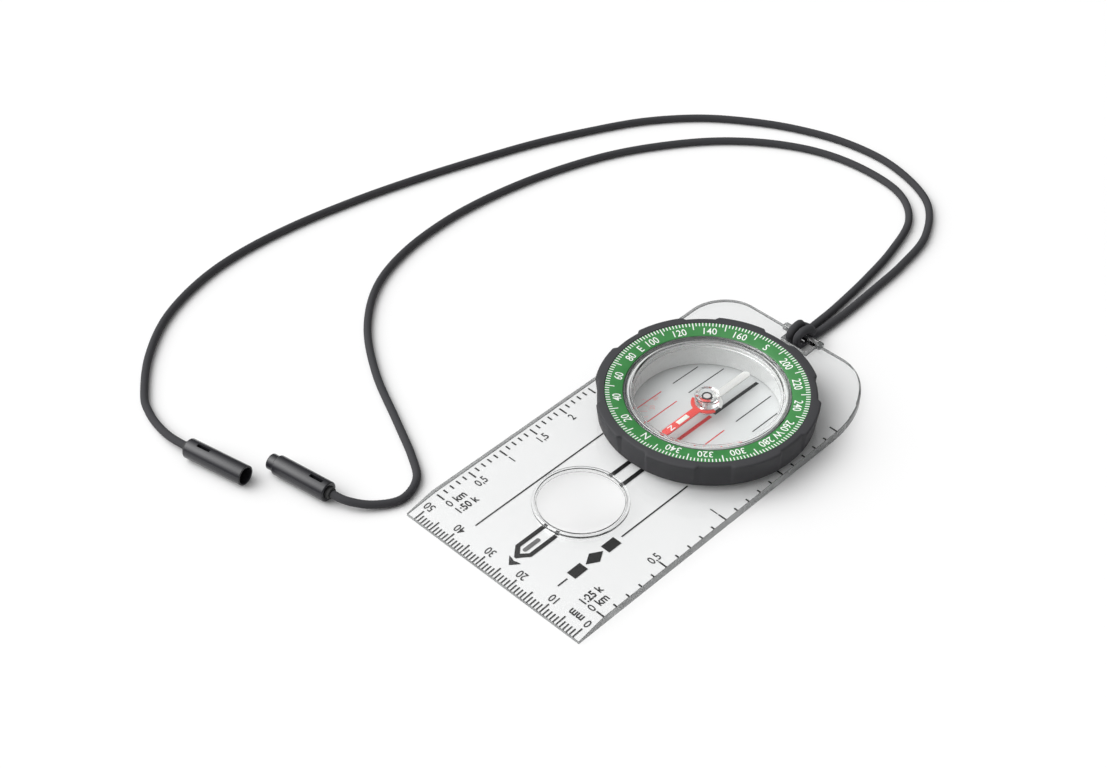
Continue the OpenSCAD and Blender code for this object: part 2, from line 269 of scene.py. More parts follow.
@dataclass(frozen=True)
class Braid(Finish):
    """The finish of a braided cord, with a thread tint that follows the piece's own UV map."""

    carriers: int = 8

    def paint(self, tree: Tree, shader: bpy.types.Node) -> None:
        """Adds fine threads along each plait and a slow change of tint.

        Args:
            tree: the material's tree.
            shader: the Principled node.
        """
        super().paint(tree, shader)
        wrap = tree.add("ShaderNodeUVMap", "round and along the cord", uv_map="wrap")
        thread = tree.add("ShaderNodeTexWave", "threads", wave_type="BANDS", bands_direction="DIAGONAL")
        thread.inputs["Scale"].default_value = 3.0 * self.carriers
        thread.inputs["Distortion"].default_value = 1.5
        tree.link(wrap.outputs["UV"], thread.inputs["Vector"])
        tint = tree.add("ShaderNodeMix", "threads over tint", data_type="RGBA", blend_type="MULTIPLY")
        tint.inputs["Factor"].default_value = 0.35
        ramp = next(n for n in tree.tree.nodes if n.label == "colour")
        tree.link(ramp.outputs["Color"], tint.inputs["A"])
        tree.link(thread.outputs["Color"], tint.inputs["B"])
        tree.link(tint.outputs["Result"], shader.inputs["Base Color"])
        bump = tree.add("ShaderNodeBump", "thread relief")
        bump.inputs["Distance"].default_value = 0.03 * MM
        tree.link(thread.outputs["Fac"], bump.inputs["Height"])
        tree.link(bump.outputs["Normal"], shader.inputs["Normal"])


CLEAR = Finish(
    "clear_acrylic", (0.985, 0.99, 0.99), (0.975, 0.985, 0.985), 0.0, 0.02, 1.0, 0.0, transmission=1.0
)
# Painted shade for the plate's side walls: light grey with streaks of painted reflection on the near walls,
# dark grey on the far walls, both partly clear, in place of the bands that refraction and internal reflection
# give at the edges.
NEAR_WALL_PAINTED_SHADE = Finish(
    "near_wall_painted_shade", (0.80, 0.82, 0.82), (0.48, 0.49, 0.49), 0.10, 0.3, 3.0, 0.02, transmission=0.6
)
FAR_WALL_PAINTED_SHADE = Finish(
    "far_wall_painted_shade", (0.06, 0.065, 0.065), (0.30, 0.31, 0.31), 0.05, 0.3, 3.0, 0.02, transmission=0.2
)
# Painted shade for the steep rims of the lens and the capsule window: dark grey, partly clear.
RIM_PAINTED_SHADE = Finish(
    "rim_painted_shade", (0.10, 0.105, 0.105), (0.34, 0.35, 0.35), 0.05, 0.1, 3.0, 0.0, transmission=0.45
)
LENS = Finish("lens_acrylic", (0.99, 0.99, 0.99), (0.985, 0.99, 0.99), 0.0, 0.01, 1.0, 0.0, transmission=1.0)
WINDOW = Finish(
    "window_acrylic", (0.99, 0.995, 0.995), (0.985, 0.99, 0.99), 0.0, 0.02, 1.0, 0.0, transmission=1.0
)
HUB = Finish("hub_acrylic", (0.97, 0.98, 0.98), (0.95, 0.96, 0.96), 0.0, 0.03, 1.0, 0.0, transmission=1.0)
PALE = Finish("pale_moulding", (0.88, 0.89, 0.88), (0.82, 0.83, 0.825), 0.22, 0.12, 5.0, 0.003, coat=0.3)
FLOOR_PALE = Finish("capsule_floor", (0.66, 0.67, 0.66), (0.60, 0.61, 0.605), 0.2, 0.1, 4.0, 0.002, coat=0.5)
BLACK = Finish("bezel_black", (0.005, 0.005, 0.0053), (0.008, 0.008, 0.0083), 0.40, 0.18, 7.0, 0.009, ior=1.2)
CLASP_BLACK = Finish(
    "clasp_black", (0.005, 0.005, 0.0053), (0.008, 0.008, 0.0083), 0.24, 0.14, 6.0, 0.004, ior=1.22
)
FERRULE_BLACK = Finish(
    "ferrule_black", (0.010, 0.010, 0.010), (0.015, 0.015, 0.015), 0.45, 0.15, 9.0, 0.008, ior=1.3
)
GREEN = Finish("ring_green", (0.030, 0.20, 0.045), (0.042, 0.235, 0.058), 0.30, 0.12, 7.0, 0.005, coat=0.25)
WHITE_INK = Finish("white_ink", (0.90, 0.91, 0.89), (0.84, 0.85, 0.83), 0.40, 0.1, 12.0, 0.002)
BLACK_INK = Finish("black_ink", (0.006, 0.006, 0.006), (0.010, 0.010, 0.010), 0.5, 0.1, 12.0, 0.002, ior=1.2)
GREY_INK = Finish("grey_ink", (0.12, 0.12, 0.12), (0.16, 0.16, 0.16), 0.5, 0.1, 12.0, 0.002, ior=1.2)
RED_INK = Finish("red_ink", (0.58, 0.010, 0.010), (0.66, 0.020, 0.018), 0.45, 0.1, 12.0, 0.002, ior=1.3)
PALE_RED_INK = Finish("pale_red_ink", (0.66, 0.22, 0.20), (0.70, 0.30, 0.28), 0.45, 0.1, 12.0, 0.002)
RED_PAINT = Finish("needle_red", (0.58, 0.010, 0.008), (0.64, 0.016, 0.013), 0.30, 0.12, 9.0, 0.003, ior=1.3)
WHITE_PAINT = Finish("needle_white", (0.97, 0.97, 0.96), (0.94, 0.94, 0.93), 0.30, 0.12, 9.0, 0.003)
GLOW_PAINT = Finish("luminous_paint", (0.92, 0.93, 0.86), (0.86, 0.88, 0.80), 0.55, 0.15, 14.0, 0.008)
STEEL = Finish("pivot_steel", (0.72, 0.72, 0.73), (0.80, 0.80, 0.80), 0.16, 0.1, 10.0, 0.002, metallic=1.0)
COLLAR = Finish(
    "dark_collar", (0.02, 0.02, 0.021), (0.035, 0.035, 0.035), 0.25, 0.12, 10.0, 0.002, metallic=0.5
)
JEWEL = Finish("jewel_stone", (0.78, 0.76, 0.74), (0.70, 0.67, 0.66), 0.06, 0.05, 10.0, 0.0, coat=0.6)
CORD = Braid(
    "cord_braid", (0.010, 0.010, 0.0105), (0.018, 0.018, 0.0185), 0.62, 0.2, 10.0, 0.0, sheen=0.02, ior=1.22
)


# ---------------------------------------------------------------- mesh helpers


def add_object(name: str, mesh: bpy.types.Mesh) -> bpy.types.Object:
    """Puts a mesh into the scene at the origin.

    Args:
        name: the piece's name.
        mesh: its mesh, already in place.

    Returns:
        The new object.
    """
    obj = bpy.data.objects.new(name, mesh)
    bpy.context.scene.collection.objects.link(obj)
    return obj


def shade(mesh: bpy.types.Mesh, angle: float = SMOOTH_ANGLE) -> None:
    """Smooths the mesh, apart from edges that are sharper than the angle."""
    mesh.shade_smooth()
    mesh.set_sharp_from_angle(angle=angle)


def from_points(
    name: str, points: Sequence[Sequence[float]], faces: Sequence[Sequence[int]], finish: Finish
) -> bpy.types.Object:
    """Makes a closed piece from points and faces, with its faces pointing outwards.

    Args:
        name: the piece's name.
        points: corner points in millimetres.
        faces: for each face, the numbers of its points.
        finish: the piece's finish.

    Returns:
        The new object.
    """
    mesh = bpy.data.meshes.new(name)
    mesh.from_pydata([tuple(c * MM for c in p) for p in points], [], [tuple(f) for f in faces])
    close_up(mesh)
    mesh.materials.append(finish.material())
    shade(mesh)
    return add_object(name, mesh)


def close_up(mesh: bpy.types.Mesh, gap: float = 1e-7) -> None:
    """Merges doubled points and turns every face outwards.

    Args:
        mesh: the mesh to mend.
        gap: the distance below which two points are one, in metres.
    """
    bm = bmesh.new()
    bm.from_mesh(mesh)
    bmesh.ops.remove_doubles(bm, verts=bm.verts, dist=gap)
    bmesh.ops.recalc_face_normals(bm, faces=bm.faces)
    bm.to_mesh(mesh)
    bm.free()


def fillet(corners: Sequence[Corner], closed: bool = True, steps: int = 5) -> list[Point]:
    """Rounds the corners of an outline.

    Args:
        corners: (x, y, radius) of each corner.
        closed: whether the outline joins up; an open one keeps its two ends.
        steps: facets in each rounded corner.

    Returns:
        The rounded outline's points.
    """
    out: list[Point] = []
    count = len(corners)
    for i, (x, y, r) in enumerate(corners):
        here = Vector((x, y))
        end = not closed and i in (0, count - 1)
        if r <= 0 or end:
            out.append((x, y))
            continue
        back = (Vector(corners[i - 1][:2]) - here).normalized()
        on = (Vector(corners[(i + 1) % count][:2]) - here).normalized()
        half = back.angle(on) / 2
        reach = r / math.tan(half)
        centre = here + (back + on).normalized() * (r / math.sin(half))
        first = here + back * reach - centre
        last = here + on * reach - centre
        for k in range(steps + 1):
            spoke = first.slerp(last, k / steps, first).normalized() * r
            out.append((centre.x + spoke.x, centre.y + spoke.y))
    return out


def lathe(
    name: str, outline: Sequence[Point], centre: Point, finish: Finish, sides: int = 144, z: float = 0.0
) -> bpy.types.Object:
    """Turns a closed half section about a vertical axis.

    Args:
        name: the piece's name.
        outline: (radius, height) points of the section; a radius of 0 lies on the axis.
        centre: where the axis stands.
        finish: the piece's finish.
        sides: facets round the axis.
        z: a height that is added to the whole piece.

    Returns:
        The new object.
    """
    points: list[Point3] = []
    rings: list[list[int]] = []
    for r, h in outline:
        if r < 1e-6:
            rings.append([len(points)])
            points.append((centre[0], centre[1], h + z))
            continue
        rings.append(list(range(len(points), len(points) + sides)))
        for k in range(sides):
            a = 2 * math.pi * k / sides
            points.append((centre[0] + r * math.cos(a), centre[1] + r * math.sin(a), h + z))
    faces: list[tuple[int, ...]] = []
    for i, here in enumerate(rings):
        there = rings[(i + 1) % len(rings)]
        if len(here) == 1 and len(there) == 1:
            continue
        for k in range(sides):
            n = (k + 1) % sides
            corners = [here[k % len(here)], here[n % len(here)], there[n % len(there)], there[k % len(there)]]
            faces.append(tuple(dict.fromkeys(corners)))
    return from_points(name, points, faces, finish)


def prism(
    name: str,
    outline: Sequence[Point],
    heights: Point,
    finish: Finish,
    edge: float = 0.0,
    place: Matrix | None = None,
) -> bpy.types.Object:
    """Raises an outline into a solid, with softened edges.

    Args:
        name: the piece's name.
        outline: the outline's points.
        heights: the heights of its two ends.
        finish: the piece's finish.
        edge: width of the softened edges.
        place: where the solid goes, in millimetres, if it isn't drawn in place.

    Returns:
        The new object.
    """
    n = len(outline)
    points = [(x, y, h) for h in heights for x, y in outline]
    if place is not None:
        points = [tuple(place @ Vector(p)) for p in points]
    walls = [(i, (i + 1) % n, n + (i + 1) % n, n + i) for i in range(n)]
    obj = from_points(name, points, [tuple(range(n)), tuple(range(n, 2 * n)), *walls], finish)
    if edge:
        soften(obj, edge)
    return obj


def soften(obj: bpy.types.Object, width: float, segments: int = 3, angle: float = 30.0) -> None:
    """Rounds a piece's edges with a bevel that is then applied.

    Args:
        obj: the piece.
        width: width of the rounding.
        segments: facets across it.
        angle: the least angle of an edge that is rounded, in degrees.
    """
    bevel = obj.modifiers.new("edges", "BEVEL")
    bevel.width = width * MM
    bevel.segments = segments
    bevel.limit_method = "ANGLE"
    bevel.angle_limit = math.radians(angle)
    apply(obj)
    shade(obj.data)


def apply(obj: bpy.types.Object) -> None:
    """Turns what the modifiers make into the piece's plain mesh, and removes them.

    Args:
        obj: the piece, with its modifiers.
    """
    depsgraph = bpy.context.evaluated_depsgraph_get()
    made = bpy.data.meshes.new_from_object(obj.evaluated_get(depsgraph))
    old = obj.data
    obj.modifiers.clear()
    obj.data = made
    made.name = obj.name
    if old.users == 0:
        bpy.data.meshes.remove(old)


def combine(obj: bpy.types.Object, other: bpy.types.Object, operation: str) -> None:
    """Adds another solid to a piece or cuts it away, and removes that solid.

    Args:
        obj: the piece that is changed.
        other: the solid that is used up.
        operation: UNION or DIFFERENCE.
    """
    cut = obj.modifiers.new(operation.lower(), "BOOLEAN")
    cut.operation = operation
    cut.solver = "EXACT"
    cut.object = other
    apply(obj)
    bpy.data.objects.remove(other)
    close_up(obj.data)
    shade(obj.data)


def merge(name: str, parts: Sequence[bpy.types.Object]) -> bpy.types.Object:
    """Joins objects that share one finish into one piece.

    Args:
        name: the joined piece's name.
        parts: the objects, which are removed.

    Returns:
        The joined piece.
    """
    bm = bmesh.new()
    finish = parts[0].data.materials[0]
    for part in parts:
        bm.from_mesh(part.data)
        bpy.data.objects.remove(part)
    mesh = bpy.data.meshes.new(name)
    bm.to_mesh(mesh)
    bm.free()
    mesh.materials.append(finish)
    shade(mesh)
    return add_object(name, mesh)


def tint_steep_faces(
    obj: bpy.types.Object, finish: Finish, centre: Point, beyond: float, above: float
) -> None:
    """Gives the steep faces of a clear turned piece a darker, partly clear finish: painted shade that draws
    its rings as dark bands in place of refraction.

    Args:
        obj: the piece.
        finish: the painted-shade finish of its steep faces.
        centre: the turning axis.
        beyond: only faces farther than this from the axis are changed.
        above: only faces higher than this are changed.
    """
    obj.data.materials.append(finish.material())
    for face in obj.data.polygons:
        at = Vector(face.center) / MM
        if abs(face.normal.z) < 0.55 and at.z > above and (at.xy - Vector(centre)).length > beyond:
            face.material_index = len(obj.data.materials) - 1


def ride(obj: bpy.types.Object, body: Body, slot: str, *nodes: str) -> bpy.types.Object:
    """Hands a finished piece to its body.

    Args:
        obj: the piece.
        body: the body that it moves with.
        slot: not used; the name of the material slot that its finish belongs to.
        *nodes: the frame's nodes that it stands for.

    Returns:
        The same piece.
    """
    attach(obj, body.value)
    if nodes:
        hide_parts(*nodes)
    log.info("%s: %d faces, rides on %s", obj.name, len(obj.data.polygons), body.value)
    return obj


# ---------------------------------------------------------------- printed marks


@dataclass
class Label:
    """One printed word or number.

    Args:
        text: what it says.
        height: height of its numerals.
        at: middle of the label, or its near end where centred is False.
        turn: direction that it reads in, in degrees from +X.
        weight: how heavy its strokes are.
        centred: whether at is the middle.
        squeeze: width against the plain letter's width.
    """

    text: str
    height: float
    at: Point
    turn: float
    weight: Weight = Weight.PLAIN
    centred: bool = True
    squeeze: float = 0.86


NUMERAL_HEIGHT = 0.69


def print_labels(
    name: str,
    labels: Sequence[Label],
    z: float,
    thickness: float,
    finish: Finish,
    tilts: Sequence[Matrix] = (),
) -> bpy.types.Object:
    """Prints labels as thin solid ink, in one piece.

    Args:
        name: the piece's name.
        labels: the labels.
        z: height of the ink's underside.
        thickness: thickness of the ink.
        finish: the ink.
        tilts: for each label, a matrix in millimetres that lays it on its surface instead of at z.

    Returns:
        The printed piece.
    """
    parts = []
    for i, label in enumerate(labels):
        curve = bpy.data.curves.new("label", "FONT")
        curve.body = label.text
        curve.size = label.height / NUMERAL_HEIGHT
        curve.extrude = thickness / 2
        curve.offset = label.weight.value * curve.size
        curve.resolution_u = 3
        curve.align_x = "CENTER" if label.centred else "LEFT"
        written = bpy.data.objects.new("label", curve)
        bpy.context.scene.collection.objects.link(written)
        depsgraph = bpy.context.evaluated_depsgraph_get()
        mesh = bpy.data.meshes.new_from_object(written.evaluated_get(depsgraph))
        bpy.data.objects.remove(written)
        centre = Matrix.Translation((0, -label.height / 2, thickness / 2))
        squeeze = Matrix.Diagonal((label.squeeze, 1, 1, 1))
        turn = Matrix.Rotation(math.radians(label.turn), 4, "Z")
        if tilts:
            place = tilts[i]
        else:
            place = Matrix.Translation((label.at[0], label.at[1], z))
        mesh.transform(Matrix.Diagonal((MM, MM, MM, 1)) @ place @ turn @ squeeze @ centre)
        mesh.materials.clear()
        mesh.materials.append(finish.material())
        close_up(mesh)
        parts.append(add_object("label", mesh))
    return merge(name, parts)


def around(centre: Point, radius: float, angle: float) -> Point:
    """Point at a radius and an angle in radians about a centre."""
    return centre[0] + radius * math.cos(angle), centre[1] + radius * math.sin(angle)


def bar(a: Point, b: Point, width: float) -> list[Point]:
    """Outline of a straight line of ink from a to b.

    Args:
        a: the middle of one end.
        b: the middle of the other end.
        width: the line's width, in mm.

    Returns:
        The four corners, in order round the line.
    """
    along = (Vector(b) - Vector(a)).normalized()
    side = Vector((-along.y, along.x)) * width / 2
    start, end = Vector(a), Vector(b)
    return [tuple(start + side), tuple(end + side), tuple(end - side), tuple(start - side)]


def print_shapes(
    name: str, outlines: Sequence[Sequence[Point]], z: float, thickness: float, finish: Finish
) -> bpy.types.Object:
    """Prints flat shapes as thin solid ink, in one piece.

    Args:
        name: the piece's name.
        outlines: the outline of each shape.
        z: height of the ink's underside.
        thickness: thickness of the ink.
        finish: the ink.

    Returns:
        The printed piece.
    """
    return merge(name, [prism("shape", o, (z, z + thickness), finish) for o in outlines])


class TickTree:
    """Geometry Nodes that set tick marks along a line or round a circle, with every so many longer."""

    FIELDS = (
        ("Count", "NodeSocketInt"),
        ("Start", "NodeSocketVector"),
        ("Step", "NodeSocketVector"),
        ("Radius", "NodeSocketFloat"),
        ("Turn", "NodeSocketFloat"),
        ("Tilt", "NodeSocketFloat"),
        ("Width", "NodeSocketFloat"),
        ("Thickness", "NodeSocketFloat"),
        ("Short", "NodeSocketFloat"),
        ("Long", "NodeSocketFloat"),
        ("Long every", "NodeSocketInt"),
        ("First long", "NodeSocketInt"),
        ("Skip every", "NodeSocketInt"),
        ("First skipped", "NodeSocketInt"),
        ("Ink", "NodeSocketMaterial"),
    )

    def __init__(self, round_circle: bool) -> None:
        """Builds the tree, for a circle or for a straight line.

        Args:
            round_circle: whether the ticks stand round a circle.
        """
        name = "ticks_round_a_circle" if round_circle else "ticks_along_a_line"
        self.group = bpy.data.node_groups.new(name, "GeometryNodeTree")
        for label, kind in self.FIELDS:
            self.group.interface.new_socket(label, in_out="INPUT", socket_type=kind)
        self.group.interface.new_socket("Geometry", in_out="OUTPUT", socket_type="NodeSocketGeometry")
        self.tree = Tree(self.group)
        self.given = self.tree.add("NodeGroupInput").outputs
        self.build(round_circle)

    def every(self, index: bpy.types.NodeSocket, every: str, first: str) -> bpy.types.NodeSocket:
        """Says which ticks are picked.

        Args:
            index: the tick's number.
            every: name of the input that holds how many ticks lie between two picked ones.
            first: name of the input that holds the first picked one.

        Returns:
            A socket that is 1 on a picked tick.
        """
        step = self.tree.maths("SUBTRACT", index, self.given[first])
        return self.tree.maths("COMPARE", self.tree.maths("MODULO", step, self.given[every]), 0.0, 0.1)

    def build(self, round_circle: bool) -> None:
        """Adds the nodes from the guide line to the finished ticks.

        Args:
            round_circle: whether the ticks stand round a circle.
        """
        tree, given = self.tree, self.given
        index = tree.add("GeometryNodeInputIndex").outputs[0]
        picked = self.every(index, "Long every", "First long")
        skipped = self.every(index, "Skip every", "First skipped")
        longer = tree.maths("MULTIPLY", picked, tree.maths("SUBTRACT", 1.0, skipped))
        span = tree.maths("SUBTRACT", given["Long"], given["Short"])
        length = tree.maths("MULTIPLY_ADD", longer, span, given["Short"])
        turn = tree.add("ShaderNodeCombineXYZ", "way that a tick points")
        if round_circle:
            guide = tree.add("GeometryNodeMeshCircle", "tick circle")
            tree.link(given["Count"], guide.inputs["Vertices"])
            tree.link(given["Radius"], guide.inputs["Radius"])
            placed = tree.add("GeometryNodeTransform", "at the dial")
            tree.link(guide.outputs["Mesh"], placed.inputs["Geometry"])
            tree.link(given["Start"], placed.inputs["Translation"])
            points = placed.outputs["Geometry"]
            step = tree.maths("DIVIDE", 2 * math.pi, given["Count"])
            tree.link(tree.maths("MULTIPLY_ADD", index, step, given["Turn"]), turn.inputs["Z"])
            tree.link(given["Tilt"], turn.inputs["Y"])
        else:
            guide = tree.add("GeometryNodeMeshLine", "tick line", mode="OFFSET")
            tree.link(given["Count"], guide.inputs["Count"])
            tree.link(given["Start"], guide.inputs["Start Location"])
            tree.link(given["Step"], guide.inputs["Offset"])
            points = guide.outputs["Mesh"]
            tree.link(given["Turn"], turn.inputs["Z"])
        cube = tree.add("GeometryNodeMeshCube", "one tick")
        size = tree.add("ShaderNodeCombineXYZ", "tick size")
        size.inputs["X"].default_value = 1.0
        tree.link(given["Width"], size.inputs["Y"])
        tree.link(given["Thickness"], size.inputs["Z"])
        tree.link(size.outputs["Vector"], cube.inputs["Size"])
        shift = tree.add("GeometryNodeTransform", "from the guide inwards")
        shift.inputs["Translation"].default_value = (0.5, 0.0, 0.0)
        tree.link(cube.outputs["Mesh"], shift.inputs["Geometry"])
        stretch = tree.add("ShaderNodeCombineXYZ", "tick length")
        stretch.inputs["Y"].default_value = 1.0
        stretch.inputs["Z"].default_value = 1.0
        tree.link(length, stretch.inputs["X"])
        spread = tree.add("GeometryNodeInstanceOnPoints", "a tick at each point")
        tree.link(points, spread.inputs["Points"])
        tree.link(shift.outputs["Geometry"], spread.inputs["Instance"])
        tree.link(turn.outputs["Vector"], spread.inputs["Rotation"])
        tree.link(stretch.outputs["Vector"], spread.inputs["Scale"])
        real = tree.add("GeometryNodeRealizeInstances")
        inked = tree.add("GeometryNodeSetMaterial")
        tree.link(spread.outputs["Instances"], real.inputs["Geometry"])
        tree.link(real.outputs["Geometry"], inked.inputs["Geometry"])
        tree.link(given["Ink"], inked.inputs["Material"])
        output = tree.add("NodeGroupOutput")
        tree.link(inked.outputs["Geometry"], output.inputs["Geometry"])

    def make(self, name: str, finish: Finish, **values: object) -> bpy.types.Object:
        """Makes one scale of ticks as a plain mesh.

        Args:
            name: the piece's name.
            finish: the ink.
            **values: the tree's inputs by name, with _ for a space; lengths in metres.

        Returns:
            The piece.
        """
        obj = add_object(name, bpy.data.meshes.new(name))
        modifier = obj.modifiers.new("ticks", "NODES")
        modifier.node_group = self.group
        wanted = {"Long every": 1000, "Skip every": 1000, "First skipped": 999, "Ink": finish.material()}
        wanted |= {k.replace("_", " ").capitalize(): v for k, v in values.items()}
        for item in self.group.interface.items_tree:
            if item.in_out == "INPUT" and item.name in wanted:
                modifier[item.identifier] = wanted[item.name]
        apply(obj)
        return obj


# ---------------------------------------------------------------- view and light


@dataclass
class Studio:
    """The camera, the pale floor and the soft light."""

    camera_at: Point3 = (-212.5, 246.0, 317.2)
    aim_at: Point3 = (34.6, -0.3, 0.0)
    roll: float = -0.72
    lens: float = 62.68
    floor_size: float = 6.0
    floor_gap: float = 0.05
    light_from: Point3 = (0.62, 0.45, 0.66)
    light_focus: float = 5.0
    light_patch: float = 3.6
    sky: float = 0.22
    brightness: float = 1.5

    def place_camera(self) -> None:
        """Sets the camera at the viewing angle of the product view."""
        data = bpy.data.cameras.new("camera")
        data.lens = self.lens
        data.sensor_width = 36.0
        data.clip_start = 0.01
        data.clip_end = 50.0
        camera = bpy.data.objects.new("camera", data)
        bpy.context.scene.collection.objects.link(camera)
        at, aim = Vector(self.camera_at) * MM, Vector(self.aim_at) * MM
        level = (aim - at).to_track_quat("-Z", "Y").to_matrix().to_4x4()
        roll = Matrix.Rotation(math.radians(self.roll), 4, "Z")
        camera.matrix_world = Matrix.Translation(at) @ level @ roll
        bpy.context.scene.camera = camera

    def lay_floor(self) -> None:
        """Lays a pale floor just under the object."""
        half = self.floor_size / 2
        mesh = bpy.data.meshes.new("floor")
        z = -self.floor_gap * MM
        corners = [(-half, -half, z), (half, -half, z), (half, half, z), (-half, half, z)]
        mesh.from_pydata(corners, [], [(0, 1, 2, 3)])
        finish = Finish("floor_pale", (0.86, 0.86, 0.86), (0.87, 0.87, 0.87), 0.7, 0.1, 1.0, 0.0, spread=0.01)
        mesh.materials.append(finish.material())
        floor = add_object("floor", mesh)

    def light(self) -> None:
        """Adds the soft sky of the studio: dark at the horizon, with one broad bright patch."""
        world = bpy.data.worlds.new("soft_studio")
        world.use_nodes = True
        bpy.context.scene.world = world
        world.node_tree.nodes.clear()
        tree = Tree(world.node_tree)
        place = tree.add("ShaderNodeTexCoord")
        split = tree.add("ShaderNodeSeparateXYZ")
        tree.link(place.outputs["Generated"], split.inputs["Vector"])
        ramp = tree.add("ShaderNodeValToRGB", "sky over the horizon")
        stops = ((0.0, 0.02), (0.12, 0.07), (0.38, 0.60), (0.7, 1.0))
        for i, (position, grey) in enumerate(stops):
            stop = ramp.color_ramp.elements[i] if i < 2 else ramp.color_ramp.elements.new(position)
            stop.position = position
            stop.color = (grey, grey, grey, 1.0)
        tree.link(split.outputs["Z"], ramp.inputs["Fac"])
        toward = tree.add("ShaderNodeVectorMath", "towards the soft box", operation="DOT_PRODUCT")
        tree.link(place.outputs["Generated"], toward.inputs[0])
        toward.inputs[1].default_value = Vector(self.light_from).normalized()
        near = tree.maths("MAXIMUM", toward.outputs["Value"], 0.0)
        focus = tree.maths("POWER", near, self.light_focus)
        patch = tree.maths("MULTIPLY_ADD", focus, self.light_patch, self.sky)
        glow = tree.add("ShaderNodeBackground")
        tree.link(ramp.outputs["Color"], glow.inputs["Color"])
        tree.link(tree.maths("MULTIPLY", patch, self.brightness), glow.inputs["Strength"])
        output = tree.add("ShaderNodeOutputWorld")
        tree.link(glow.outputs["Background"], output.inputs["Surface"])
        bpy.context.scene.view_settings.view_transform = "Standard"


# ---------------------------------------------------------------- neck cord and clasp


